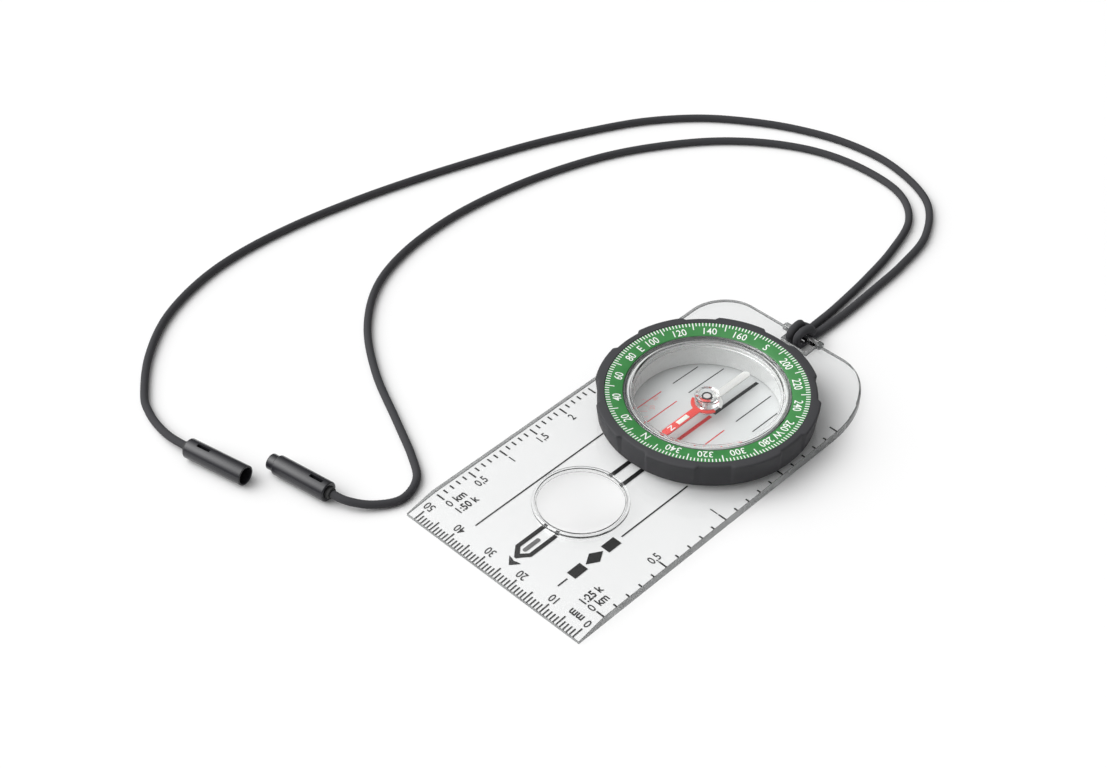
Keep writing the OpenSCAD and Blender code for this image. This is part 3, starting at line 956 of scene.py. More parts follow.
@dataclass
class NeckCord:
    """The braided cord with its two strands and its hitch on the plate's bridge bar."""

    radius: float = 1.0
    carriers: int = 8
    plait: float = 0.95
    relief: float = 0.075
    hitch_relief: float = 0.045
    ring_step: float = 0.24
    sides: int = 24
    outer_route: tuple[Point3, ...] = (
        (-0.5, -55.5, 1.3), (-0.6, -61, 1.2), (-0.6, -70, 1), (0, -82, 1), (1, -96, 1), (4, -110, 1),
        (13, -122.5, 1), (29, -129, 1), (45, -129, 1), (60, -124.5, 1), (73, -117.5, 1), (84, -109, 1),
        (94, -97, 1), (102, -82.5, 1), (109, -67, 1), (115, -50, 1), (120.5, -32.5, 1), (125, -15, 1),
        (128.5, 4.5, 1), (129.5, 22, 1), (127.5, 37, 1), (122, 51.5, 1), (113, 63.5, 1), (102.5, 72.5, 1),
        (96.8, 75.3, 1), (91.2, 76.75, 1.25), (85.2, 77.45, 1.9), (78.55, 76.95, 2.5),
        (75.65, 76.35, 2.5),
    )  # fmt: skip
    inner_route: tuple[Point3, ...] = (
        (1.7, -55.5, 1.3), (1.95, -61, 1.2), (2.5, -70, 1), (4, -84, 1), (6.5, -98.5, 1), (11, -112, 1),
        (20, -120, 1), (33, -122.3, 1), (47, -120.5, 1), (60, -114.5, 1), (72, -104.8, 1), (82, -92, 1),
        (90, -77.5, 1), (96, -60, 1), (99.5, -42.5, 1), (100.5, -26, 1), (98.5, -9, 1), (93, 5.5, 1),
        (82.5, 18, 1), (68, 28, 1), (52, 35.7, 1), (40, 41.5, 1), (33.5, 46, 1), (31.3, 52.5, 1),
        (34.25, 58.4, 1.4), (38.85, 62.3, 2.2), (43.8, 63.6, 2.5), (46.8, 64.1, 2.5),
    )  # fmt: skip
    hitch_x: float = 0.9
    hitch_radius: float = 1.04
    bar_y: float = -53.65
    bar_z: float = 3.15

    @staticmethod
    def on_route(route: Sequence[Vector], t: float) -> Vector:
        """Gives the place at step t of the smooth curve through a route's points.

        Args:
            route: the points that the curve goes through.
            t: the place along the route, counted in points from the first.

        Returns:
            The place on the curve.
        """
        last = len(route) - 1
        i = min(int(t), last - 1)
        u = t - i
        before, here, there, after = route[max(i - 1, 0)], route[i], route[i + 1], route[min(i + 2, last)]
        bend = 2 * before - 5 * here + 4 * there - after
        twist = 3 * here - before - 3 * there + after
        return (2 * here + u * (there - before) + u * u * bend + u * u * u * twist) / 2

    def smooth(self, route: Sequence[Point3], step: float) -> list[Vector]:
        """Walks a route in even steps.

        Args:
            route: the route's own points.
            step: the distance between two of the points returned.

        Returns:
            Points on the smooth curve.
        """
        given = [Vector(p) for p in route]
        fine = [self.on_route(given, (len(given) - 1) * k / 2400) for k in range(2401)]
        total = sum((b - a).length for a, b in zip(fine, fine[1:]))
        count = max(2, round(total / step))
        out, walked, wanted = [fine[0]], 0.0, 1
        for a, b in zip(fine, fine[1:]):
            length = (b - a).length
            while wanted < count and walked + length >= wanted * total / count:
                out.append(a.lerp(b, (wanted * total / count - walked) / length))
                wanted += 1
            walked += length
        return [*out, fine[-1]]

    def rope(self, name: str, path: Sequence[Vector], radius: float, relief: float) -> bpy.types.Object:
        """Sweeps a braided tube along a path, as one closed mesh with its own UV map.

        Args:
            name: the piece's name.
            path: points of the centreline.
            radius: radius over the plaits.
            relief: depth of the grooves between the plaits.

        Returns:
            The cord's piece.
        """
        n, last = self.sides, len(path) - 1
        points: list[Vector] = []
        side = Vector((0, 0, 1)).cross(path[1] - path[0]).normalized()
        walked = 0.0
        stations = []
        for i, here in enumerate(path):
            along = (path[min(i + 1, last)] - path[max(i - 1, 0)]).normalized()
            side = (side - along * side.dot(along)).normalized()
            up = along.cross(side)
            stations.append(walked)
            taper = 0.0 if i in (0, last) else 1.0
            for k in range(n):
                r = radius - relief * (1 - self.plait_height(k / n, walked) * taper)
                a = 2 * math.pi * k / n
                points.append(here + (side * math.cos(a) + up * math.sin(a)) * r)
            if i < last:
                walked += (path[i + 1] - here).length
        faces = [(i * n + k, i * n + (k + 1) % n, (i + 1) * n + (k + 1) % n, (i + 1) * n + k)
                 for i in range(last) for k in range(n)]  # fmt: skip
        ends = [tuple(range(n)), tuple(range(last * n, last * n + n))]
        mesh = bpy.data.meshes.new(name)
        mesh.from_pydata([tuple(p * MM) for p in points], [], [*faces, *ends])
        wrap = mesh.uv_layers.new(name="wrap")
        for f, polygon in enumerate(mesh.polygons):
            i, k = divmod(f, n)
            for c, loop in enumerate(polygon.loop_indices):
                if f < len(faces):
                    v = stations[i + (c > 1)]
                    wrap.data[loop].uv = ((k + (c in (1, 2))) / n, v / (2 * math.pi * radius))
        bm = bmesh.new()
        bm.from_mesh(mesh)
        bmesh.ops.recalc_face_normals(bm, faces=bm.faces)
        bm.to_mesh(mesh)
        bm.free()
        mesh.materials.append(CORD.material())
        mesh.shade_smooth()
        return add_object(name, mesh)

    def plait_height(self, round_share: float, along: float) -> float:
        """Height of the braid, from 0 in a groove to 1 on a plait.

        Args:
            round_share: place round the cord, from 0 to 1.
            along: place along the cord.

        Returns:
            The height.
        """
        u = round_share * self.carriers + along / self.plait
        v = round_share * self.carriers - along / self.plait
        over = (math.floor(u) + math.floor(v)) % 2 == 0
        return abs(math.sin(math.pi * (u if over else v))) ** 0.6

    def hitch_route(self) -> list[Point3]:
        """Gives the cord's way through the hitch: under the bar, over it, across both strands and back.

        Returns:
            The points of the closed loop, in order.
        """
        x, y, z = self.hitch_x, self.bar_y, self.bar_z
        half = [
            (1.15, -4.2, -1.9), (1.1, -2.2, -1.85), (1.1, 0.0, -2.0), (1.1, 1.9, -1.6), (1.12, 2.8, 0.1),
            (1.15, 2.3, 1.5), (1.25, 0.3, 2.1), (1.5, -1.5, 1.65), (1.8, -2.4, 0.5), (1.4, -3.1, 0.0),
        ]  # fmt: skip
        right = [(x + dx, y + dy, z + dz) for dx, dy, dz in half]
        left = [(x - dx, y + dy, z + dz) for dx, dy, dz in reversed(half)]
        return [*right, (x, y - 3.4, z), *left]

    def build(self) -> None:
        route = self.smooth(self.hitch_route(), self.ring_step)
        hitch = self.rope("lanyard_hitch_cord", route, self.hitch_radius, self.hitch_relief)
        ride(hitch, Body.PLATE, "cord_braid", "lanyard_hitch")
        strands = (
            ("outer", self.outer_route, ("clasp_socket_body", "socket_ferrule_ring", "lanyard_hitch_cord")),
            ("inner", self.inner_route, ("clasp_plug_body", "plug_ferrule_ring")),
        )
        for name, route, pieces in strands:
            path = self.smooth(route, self.ring_step)
            cord = self.rope(f"lanyard_cord_{name}", path, self.radius, self.relief)
            ride(cord, Body.PLATE, "cord_braid", f"lanyard_strand_{name}")


@dataclass
class ClaspEnd:
    """One clasp body with its ferrule, drawn along +X from the cord end."""

    name: str
    at: Point
    turn: float
    length: float
    window_x: float
    tip: float = 0.0
    radius: float = 2.5
    bore: float = 2.05
    neck: float = 2.0
    hollow: float = 1.4
    bore_depth: float = 5.5
    window: Point = (3.8, 0.9)
    ferrule_radius: float = 1.45
    ferrule_out: float = 1.0

    def place(self) -> Matrix:
        """Gives the matrix that lays the piece on the ground, with its turning axis on +X."""
        lay = Matrix.Translation((self.at[0], self.at[1], self.radius))
        return lay @ Matrix.Rotation(math.radians(self.turn), 4, "Z") @ Matrix.Rotation(math.pi / 2, 4, "Y")

    def turned(self, name: str, section: Sequence[Corner], finish: Finish) -> bpy.types.Object:
        """Turns a section about the clasp's own axis and lays it in place.

        Args:
            name: the piece's name.
            section: the half section's corners, as (radius, height, fillet).
            finish: what it is made of.

        Returns:
            The finished piece.
        """
        obj = lathe(name, fillet(section), (0.0, 0.0), finish, 72)
        scale = Matrix.Diagonal((MM, MM, MM, 1))
        obj.data.transform(scale @ self.place() @ scale.inverted())
        return obj

    def section(self) -> list[Corner]:
        """Gives the body's half section as (radius, distance from the cord end, fillet).

        Returns:
            The half section's corners, from the cord end on.
        """
        r, l, recess = self.radius, self.length, self.ferrule_radius + 0.1
        start = [(0, 0.9, 0), (recess, 0.9, 0.1), (recess, 0, 0.12), (r, 0, 0.3)]
        if not self.tip:
            return [*start, (r, l, 0.12), (self.bore, l, 0.12), (self.bore, l - self.bore_depth, 0.2),
                    (0, l - self.bore_depth, 0)]  # fmt: skip
        neck, hollow, shoulder = self.neck, self.hollow, l - self.tip
        return [*start, (r, shoulder, 0.25), (neck, shoulder + 0.2, 0.1), (neck, l, 0.15), (hollow, l, 0.12),
                (hollow, shoulder, 0.2), (0, shoulder, 0)]  # fmt: skip

    def build(self) -> None:
        """Builds the body with its cord window, and the ferrule."""
        body = self.turned(f"clasp_{self.name}_body", self.section(), CLASP_BLACK)
        l, w = self.window
        outline = fillet([(self.window_x, -w / 2, 0.2), (self.window_x + l, -w / 2, 0.2),
                          (self.window_x + l, w / 2, 0.2), (self.window_x, w / 2, 0.2)])  # fmt: skip
        lay = Matrix.Translation((self.at[0], self.at[1], self.radius))
        upright = lay @ Matrix.Rotation(math.radians(self.turn), 4, "Z")
        cutter = prism("window", outline, (0.7, 2 * self.radius), CLASP_BLACK, place=upright)
        combine(body, cutter, "DIFFERENCE")
        ride(body, Body.PLATE, "clasp_black", f"clasp_{self.name}")
        out, r = self.ferrule_out, self.ferrule_radius
        ring = [(1.0, -out, 0.12), (r, -out, 0.25), (r, 0.85, 0.1), (1.0, 0.85, 0.1)]
        ferrule = self.turned(f"{self.name}_ferrule_ring", ring, FERRULE_BLACK)
        ride(ferrule, Body.PLATE, "ferrule_black", f"{self.name}_ferrule")


# ---------------------------------------------------------------- plate and magnifier


@dataclass
class ClearPlate:
    """The clear plate with its ruler bevel, dial and lens holes, cord slot and bridge bar."""

    dial: Point
    length: float = 109.4
    width: float = 54.4
    thickness: float = 2.6
    bevel_length: float = 7.7
    front_thickness: float = 1.0
    right_corner: Point = (10.0, 11.0)
    left_corner: Point = (15.5, 23.0)
    corner_steps: int = 26
    edge: float = 0.12
    rear_edge: float = 0.8
    dial_hole: float = 20.6
    counterbore: Point = (22.2, 1.0)
    lens: Point = (0.0, 25.9)
    lens_hole: float = 10.4
    slot: Point = (8.0, 4.8)
    bar: tuple[float, float, float] = (12.0, 2.1, 1.7)

    def outline(self) -> list[tuple[float, float, float]]:
        """Gives the plate's outline with the width of the rounded top edge at each point.

        Returns:
            (x, y, edge) points, anticlockwise from the right-hand end of the bevel's crease.
        """
        w, l = self.width / 2, self.length / 2
        crease = l - self.bevel_length
        e = self.edge
        points = [(w, crease, e), (w, l, e), (-w, l, e), (-w, crease, e)]
        cx, cy = -w + self.left_corner[0], -l + self.left_corner[1]
        points += [self.corner_point(cx, cy, self.left_corner, 180 + 90 * k / self.corner_steps)
                   for k in range(self.corner_steps + 1)]  # fmt: skip
        sw, sl = self.slot[0] / 2, self.slot[1]
        points += [(-sw - 1.5, -l, self.rear_edge), (-sw, -l, 0.3), (-sw, -l + sl, e), (sw, -l + sl, e),
                   (sw, -l, 0.3), (sw + 1.5, -l, self.rear_edge)]  # fmt: skip
        cx, cy = w - self.right_corner[0], -l + self.right_corner[1]
        points += [self.corner_point(cx, cy, self.right_corner, 270 + 90 * k / self.corner_steps)
                   for k in range(self.corner_steps + 1)]  # fmt: skip
        return points

    def corner_point(self, cx: float, cy: float, size: Point, degrees: float) -> Point3:
        """Gives one point of a rounded rear corner, whose top edge widens towards the rear.

        Args:
            cx: the corner's centre across the plate.
            cy: the corner's centre along the plate.
            size: the corner's half width and half length.
            degrees: the point's direction from the centre.

        Returns:
            The point, with its edge width as the third value.
        """
        a = math.radians(degrees)
        x, y = cx + size[0] * math.cos(a), cy + size[1] * math.sin(a)
        share = min(1.0, max(0.0, (cy - y) / size[1] * 1.6))
        return x, y, self.edge + (self.rear_edge - self.edge) * share

    def top(self, y: float) -> float:
        """Height of the plate's top face at y."""
        over = max(0.0, y - (self.length / 2 - self.bevel_length)) / self.bevel_length
        return self.thickness - (self.thickness - self.front_thickness) * over

    @staticmethod
    def inward(outline: Sequence[Sequence[float]], share: float) -> list[Point]:
        """Moves each point of an anticlockwise outline inwards by a share of its own edge width.

        Args:
            outline: the points, each with its edge width as the third value.
            share: how much of the edge width to move by.

        Returns:
            The moved points.
        """
        out = []
        n = len(outline)
        for i, (x, y, e) in enumerate(outline):
            back = Vector((x - outline[i - 1][0], y - outline[i - 1][1])).normalized()
            on = Vector((outline[(i + 1) % n][0] - x, outline[(i + 1) % n][1] - y)).normalized()
            normal = Vector((-back.y - on.y, back.x + on.x)).normalized()
            stretch = 1 / max(0.3, normal.dot(Vector((-on.y, on.x))))
            out.append((x + normal.x * e * share * stretch, y + normal.y * e * share * stretch))
        return out

    def ring(self, centre: Point, radius: float, sides: int = ROUND_SIDES) -> list[Point]:
        """Points of a circle, anticlockwise."""
        turns = [2 * math.pi * k / sides for k in range(sides)]
        return [around(centre, radius, a) for a in turns]

    def build_plate(self) -> bpy.types.Object:
        """Builds the plate's shell with its rounded edges and holes.

        Returns:
            The finished plate.
        """
        outline = self.outline()
        points: list[Point3] = []
        faces: list[tuple[int, ...]] = []

        def loop(flat: Sequence[Point], height: Sequence[float]) -> list[int]:
            """Adds a loop of points and gives their numbers.

            Args:
                flat: the points seen from above.
                height: each point's height.

            Returns:
                The numbers of the new points.
            """
            start = len(points)
            points.extend((x, y, z) for (x, y), z in zip(flat, height))
            return list(range(start, start + len(flat)))

        def wall(a: Sequence[int], b: Sequence[int]) -> None:
            """Joins two loops with a strip of faces."""
            n = len(a)
            faces.extend((a[k], a[(k + 1) % n], b[(k + 1) % n], b[k]) for k in range(n))

        steps = 6
        foot = loop(self.inward([(x, y, self.edge) for x, y, _ in outline], 1.0), [0.0] * len(outline))
        rings = [foot, loop([(x, y) for x, y, _ in outline], [self.edge] * len(outline))]
        for k in range(steps + 1):
            a = math.pi / 2 * k / steps
            flat = self.inward(outline, 1 - math.cos(a))
            rise = [self.top(y) - e * (1 - math.sin(a)) for _, y, e in outline]
            rings.append(loop(flat, rise))
        for a, b in zip(rings, rings[1:]):
            wall(a, b)
        e = self.edge
        lens_low, lens_high = (
            loop(self.ring(self.lens, self.lens_hole), [h] * ROUND_SIDES) for h in (0.0, self.thickness)
        )
        wall(lens_low, lens_high)
        bore, depth = self.counterbore
        dial_rings = [
            loop(self.ring(self.dial, r), [h] * ROUND_SIDES)
            for r, h in ((bore, 0.0), (bore, depth), (self.dial_hole, depth),
                         (self.dial_hole, self.thickness - e), (self.dial_hole + e, self.thickness))
        ]  # fmt: skip
        for a, b in zip(dial_rings, dial_rings[1:]):
            wall(a, b)
        top = rings[-1]
        self.fill(points, faces, [foot, lens_low, dial_rings[0]])
        self.fill(points, faces, [[top[0], *top[3:]], lens_high, dial_rings[-1]])
        faces.append((top[0], top[1], top[2], top[3]))
        plate = from_points("clear_plate", points, faces, CLEAR)
        # Painted shade: walls turned to +X or to the rear take the dark far-wall finish, the other walls the
        # light grey near-wall finish with its streaks; the holes keep the clear finish.
        for finish in (NEAR_WALL_PAINTED_SHADE, FAR_WALL_PAINTED_SHADE):
            plate.data.materials.append(finish.material())
        for face in plate.data.polygons:
            at = Vector(face.center.xy) / MM
            inside = (at - Vector(self.dial)).length < self.dial_hole + 2
            inside = inside or (at - Vector(self.lens)).length < self.lens_hole + 1
            if inside:
                continue
            painted_far_wall = face.normal.x > 0.5 or face.normal.y < -0.15
            if abs(face.normal.z) < (0.93 if painted_far_wall else 0.3):
                face.material_index = 2 if painted_far_wall else 1
        return plate

    @staticmethod
    def fill(points: Sequence[Point3], faces: list[tuple[int, ...]], loops: Sequence[Sequence[int]]) -> None:
        """Fills a flat face that has holes.

        Args:
            points: all points of the shell.
            faces: its faces, which this adds to.
            loops: point numbers of the outer loop, then of each hole.
        """
        numbers = [i for one in loops for i in one]
        flat = [[Vector((points[i][0], points[i][1], 0)) for i in one] for one in loops]
        faces.extend(tuple(numbers[i] for i in face) for face in tessellate_polygon(flat))

    def build(self) -> None:
        """Builds the plate and its bridge bar as one clear piece."""
        plate = self.build_plate()
        across, along, tall = self.bar
        y = -self.length / 2 + along / 2
        half = along / 2
        section = fillet([(-half, 0, 0.5), (half, 0, 0.5), (half, tall, 0.75), (-half, tall, 0.75)])
        upright = Matrix.Translation((0, y, self.thickness - 0.3)) @ Matrix(
            ((0, 0, 1, 0), (1, 0, 0, 0), (0, 1, 0, 0), (0, 0, 0, 1))
        )
        bridge = prism("bridge", section, (-across / 2, across / 2), CLEAR, 0.45, upright)
        combine(plate, bridge, "UNION")
        ride(plate, Body.PLATE, "clear_plate", "baseplate")


@dataclass
class Magnifier:
    """The clear lens with its rim, set in the plate."""

    centre: Point = (0.0, 25.9)
    plug: float = 10.35
    rim: float = 11.3
    plate_top: float = 2.62
    rim_top: float = 3.2
    groove: float = 2.9
    dome_radius: float = 10.1
    dome_height: float = 1.2

    def build(self) -> None:
        """Turns the lens with its dome and a shallow groove inside the rim."""
        sphere = (self.dome_radius**2 + self.dome_height**2) / (2 * self.dome_height)
        middle = self.rim_top + self.dome_height - sphere
        steps = 24
        dome = [
            (r, middle + math.sqrt(sphere**2 - r * r))
            for r in (self.dome_radius * (1 - k / steps) for k in range(steps + 1))
        ]
        foot = fillet([(0, 0.1, 0), (self.plug, 0.1, 0.15), (self.plug, self.plate_top, 0),
                       (self.rim, self.plate_top, 0.12), (self.rim, self.rim_top, 0.2),
                       (self.dome_radius + 0.55, self.rim_top, 0.08),
                       (self.dome_radius + 0.45, self.groove, 0.06),
                       (self.dome_radius + 0.1, self.groove, 0.04),
                       (self.dome_radius + 0.02, self.rim_top, 0)],
                      closed=False)  # fmt: skip
        lens = lathe("magnifier", [*foot, *dome], self.centre, LENS, ROUND_SIDES)
        # Painted shade: the steep faces of the rim and groove take the dark rim finish.
        tint_steep_faces(lens, RIM_PAINTED_SHADE, self.centre, self.dome_radius, self.plate_top)
        ride(lens, Body.PLATE, "lens_plastic", "magnifier_lens")


@dataclass
class PlatePrint:
    """The ink on the plate's underside: map scales, ruler, travel arrow and index lines."""

    line: TickTree
    z: float = 0.02
    ink: float = 0.03
    scale_zero_y: float = 45.9
    right_x: float = 26.4
    left_x: float = -26.2
    ruler_y: float = 54.3
    arrow_x: float = 1.97
    arrow_stroke: float = 1.1
    arrow_middle: float = -0.28
    tip_shift: float = -0.45
    index_x: float = 13.0

    def ticks(self) -> None:
        """Prints the three scales."""
        shared = {"thickness": self.ink * MM, "long_every": 5, "first_long": 0}
        z = (self.z + self.ink / 2) * MM
        scales = (
            ("right_scale_ticks", 26, (self.right_x, self.scale_zero_y), (0, -2), 180, 1.4, 2.4, 0.42),
            ("left_scale_ticks", 21, (self.left_x, self.scale_zero_y), (0, -4), 0, 0.9, 2.1, 0.42),
            ("ruler_ticks", 51, (-25.0, self.ruler_y), (1, 0), 270, 2.0, 3.0, 0.36),
        )
        for name, count, start, step, turn, short, long, width in scales:
            made = self.line.make(
                name, BLACK_INK, count=count, start=(start[0] * MM, start[1] * MM, z),
                step=(step[0] * MM, step[1] * MM, 0.0), turn=math.radians(turn), short=short * MM,
                long=long * MM, width=width * MM, **shared,
            )  # fmt: skip
            ride(made, Body.PLATE, "clear_plate")

    def numbers(self) -> None:
        """Prints the numbers beside the scales."""
        zero = self.scale_zero_y
        words = ("0", "0,5", "1", "1,5", "2")
        labels = [Label(t, 2.1, (22.3, zero - 10 * k), -90) for k, t in enumerate(words)]
        labels += [Label(t, 2.1, (-22.6, zero - 20 * k), -90) for k, t in enumerate(words[:4])]
        labels += [Label(str(10 * k), 2.1, (10 * k - 25, 49.65), 0) for k in range(6)]
        bold = [
            Label("km", 2.05, (22.3, zero - 1.6), -90, Weight.BOLD, False),
            Label("1:50 k", 2.0, (19.2, zero + 0.7), -90, Weight.BOLD, False),
            Label("km", 2.05, (-22.6, zero - 1.6), -90, Weight.BOLD, False),
            Label("1:25 k", 2.0, (-20.0, zero + 0.7), -90, Weight.BOLD, False),
            Label("mm", 2.05, (-23.4, 49.65), 0, Weight.BOLD, False),
        ]
        ride(print_labels("scale_numbers", labels, self.z, self.ink, BLACK_INK), Body.PLATE, "clear_plate")
        ride(print_labels("scale_units", bold, self.z, self.ink, BLACK_INK), Body.PLATE, "clear_plate")

    def arrow(self) -> None:
        """Prints the travel arrow, its two lines, the grey bar and the tip mark."""
        x, s, mid = self.arrow_x, self.arrow_stroke, self.arrow_middle
        outer, inner = x + s / 2, x - s / 2
        rear = [bar((side * x, 15.2), (side * x, 5.5), s) for side in (-1, 1)]
        head = [
            (outer, 36.2), (outer, 44.5), (0.25, 47.15), (-0.25, 47.15), (-outer, 44.5), (-outer, 36.2),
            (-inner, 36.2), (-inner, 44.05), (0, 45.6), (inner, 44.05), (inner, 36.2),
        ]  # fmt: skip
        tip = [(0, 49.5), (-1.85, 47.5), (-0.8, 47.65), (0, 47.95), (0.8, 47.65), (1.85, 47.5)]
        head = [(mid + px, py) for px, py in head]
        tip = [(mid + self.tip_shift + px, py) for px, py in tip]
        shapes = print_shapes("travel_arrow", [*rear, head, tip], self.z, self.ink, BLACK_INK)
        ride(shapes, Body.PLATE, "clear_plate")
        grey = fillet([(mid - 0.55, 39.4, 0.5), (mid + 0.55, 39.4, 0.5), (mid + 0.55, 44.5, 0.5),
                       (mid - 0.55, 44.5, 0.5)])  # fmt: skip
        ride(print_shapes("arrow_bar", [grey], self.z, self.ink, GREY_INK), Body.PLATE, "clear_plate")

    def index_lines(self) -> None:
        """Prints the two thin index lines and the plain mark that breaks one of them."""
        x = self.index_x
        spans = ((x, 46.5, 4.0), (-x, 46.5, 43.6), (-x, 26.2, 4.0))
        lines = [bar((at, front), (at, rear), 0.35) for at, front, rear in spans]
        ride(print_shapes("index_lines", lines, self.z, self.ink, BLACK_INK), Body.PLATE, "clear_plate")
        w = 1.3
        mark = [
            bar((-x, 42.4), (-x, 38.4), 2 * w),
            [(-x - 1.7, 35.0), (-x, 32.2), (-x + 1.7, 35.0), (-x, 37.8)],
            bar((-x, 31.6), (-x, 27.6), 2 * w),
        ]
        ride(print_shapes("plain_mark", mark, self.z, self.ink, BLACK_INK), Body.PLATE, "clear_plate")

    def build(self) -> None:
        """Prints everything on the plate."""
        self.ticks()
        self.numbers()
        self.arrow()
        self.index_lines()


# ---------------------------------------------------------------- dial


@dataclass
class Bezel:
    """The black grip ring with its lobes."""

    centre: Point
    lobes: int = 8
    lobe_angle: float = 27.0
    flank_angle: float = 2.6
    radius: float = 26.95
    recess: float = 0.8
    taper: float = 0.75
    bottom: float = 2.95
    top: float = 9.05
    seat: Point = (24.4, 7.6)
    bore: float = 20.05
    sides: int = 1152

    def lobe_share(self, degrees: float) -> float:
        """Gives 1 on a lobe and 0 in a recess, with a soft flank between.

        Args:
            degrees: the direction from the dial's centre.

        Returns:
            The share of the lobe's full height, 0 to 1.
        """
        pitch = 360 / self.lobes
        off = abs((degrees % pitch) - pitch / 2)
        share = (self.lobe_angle / 2 - off) / self.flank_angle + 0.5
        share = min(1.0, max(0.0, share))
        return share * share * (3 - 2 * share)

    def build(self) -> None:
        """Builds the ring as a closed grid of sections round the dial."""
        height = self.top - self.bottom
        outer = [(0.25, 0.0), (0.07, 0.05), (0.0, 0.22), (0.0, height - 0.62), (0.04, height - 0.38),
                 (0.14, height - 0.2), (0.32, height - 0.06), (0.55, height)]  # fmt: skip
        seat_r, seat_z = self.seat
        inner = [(seat_r + 0.12, self.top), (seat_r, self.top - 0.12), (seat_r, seat_z), (self.bore, seat_z),
                 (self.bore, self.bottom), (21.8, self.bottom), (21.8, 6.4), (24.6, 6.4),
                 (24.6, self.bottom)]  # fmt: skip
        rows = len(outer) + len(inner)
        points: list[Point3] = []
        for k in range(self.sides):
            degrees = 360 * k / self.sides
            a = math.radians(degrees)
            share = self.lobe_share(degrees)
            for inset, z in outer:
                lobe = self.radius - self.taper * (1 - z / height)
                r = self.radius - self.recess + (lobe - self.radius + self.recess) * share - inset
                points.append((*around(self.centre, r, a), self.bottom + z))
            for r, z in inner:
                points.append((*around(self.centre, r, a), z))
        faces = []
        for k in range(self.sides):
            here, there = k * rows, (k + 1) % self.sides * rows
            for j in range(rows):
                n = (j + 1) % rows
                faces.append((here + j, there + j, there + n, here + n))
        ring = from_points("bezel", points, faces, BLACK)
        ride(ring, Body.DIAL, "bezel_black", "bezel_ring")


@dataclass
class DegreeRing:
    """The green ring with its degree marks and numbers."""

    centre: Point
    circle: TickTree
    inner: Point = (20.05, 8.5)
    outer: Point = (24.35, 8.95)
    base_z: float = 7.62
    tick_radius: float = 24.3
    ink: float = 0.025
    number_radius: float = 21.6
    number_height: float = 2.05

    def slope(self) -> float:
        """Angle at which the ring's face falls towards the middle."""
        return math.atan2(self.outer[1] - self.inner[1], self.outer[0] - self.inner[0])

    def height(self, radius: float) -> float:
        """Height of the ring's face at a radius."""
        return self.inner[1] + (radius - self.inner[0]) * math.tan(self.slope())

    def build(self) -> None:
        """Builds the ring, its ticks and its numbers."""
        section = fillet([(self.inner[0], self.base_z, 0), (self.outer[0], self.base_z, 0),
                          (*self.outer, 0.08), (*self.inner, 0.18)])  # fmt: skip
        band = lathe("degree_band", section, self.centre, GREEN, ROUND_SIDES)
        ride(band, Body.DIAL, "degree_green", "degree_ring")
        z = self.height(self.tick_radius) + self.ink / 2
        ticks = self.circle.make(
            "degree_ticks", WHITE_INK, count=180, start=(self.centre[0] * MM, self.centre[1] * MM, z * MM),
            radius=self.tick_radius * MM, turn=math.pi, tilt=self.slope(), width=0.26 * MM,
            thickness=self.ink * MM, short=1.05 * MM, long=2.25 * MM, long_every=10, first_long=0,
            skip_every=90, first_skipped=0,
        )  # fmt: skip
        ride(ticks, Body.DIAL, "degree_green")
        words = {0: "N", 90: "E", 180: "S", 270: "W"}
        labels, tilts = [], []
        for degrees in range(0, 360, 10):
            if degrees % 20 and degrees not in words:
                continue
            a = math.radians(90 - degrees)
            r = self.number_radius
            labels.append(Label(words.get(degrees, str(degrees)), self.number_height, (0, 0), 0))
            spot = (*around(self.centre, r, a), self.height(r))
            lean = Matrix.Rotation(self.slope(), 4, "X")
            tilts.append(Matrix.Translation(spot) @ Matrix.Rotation(a - math.pi / 2, 4, "Z") @ lean)
        numbers = print_labels("degree_numbers", labels, 0.0, self.ink, WHITE_INK, tilts)
        ride(numbers, Body.DIAL, "degree_green")


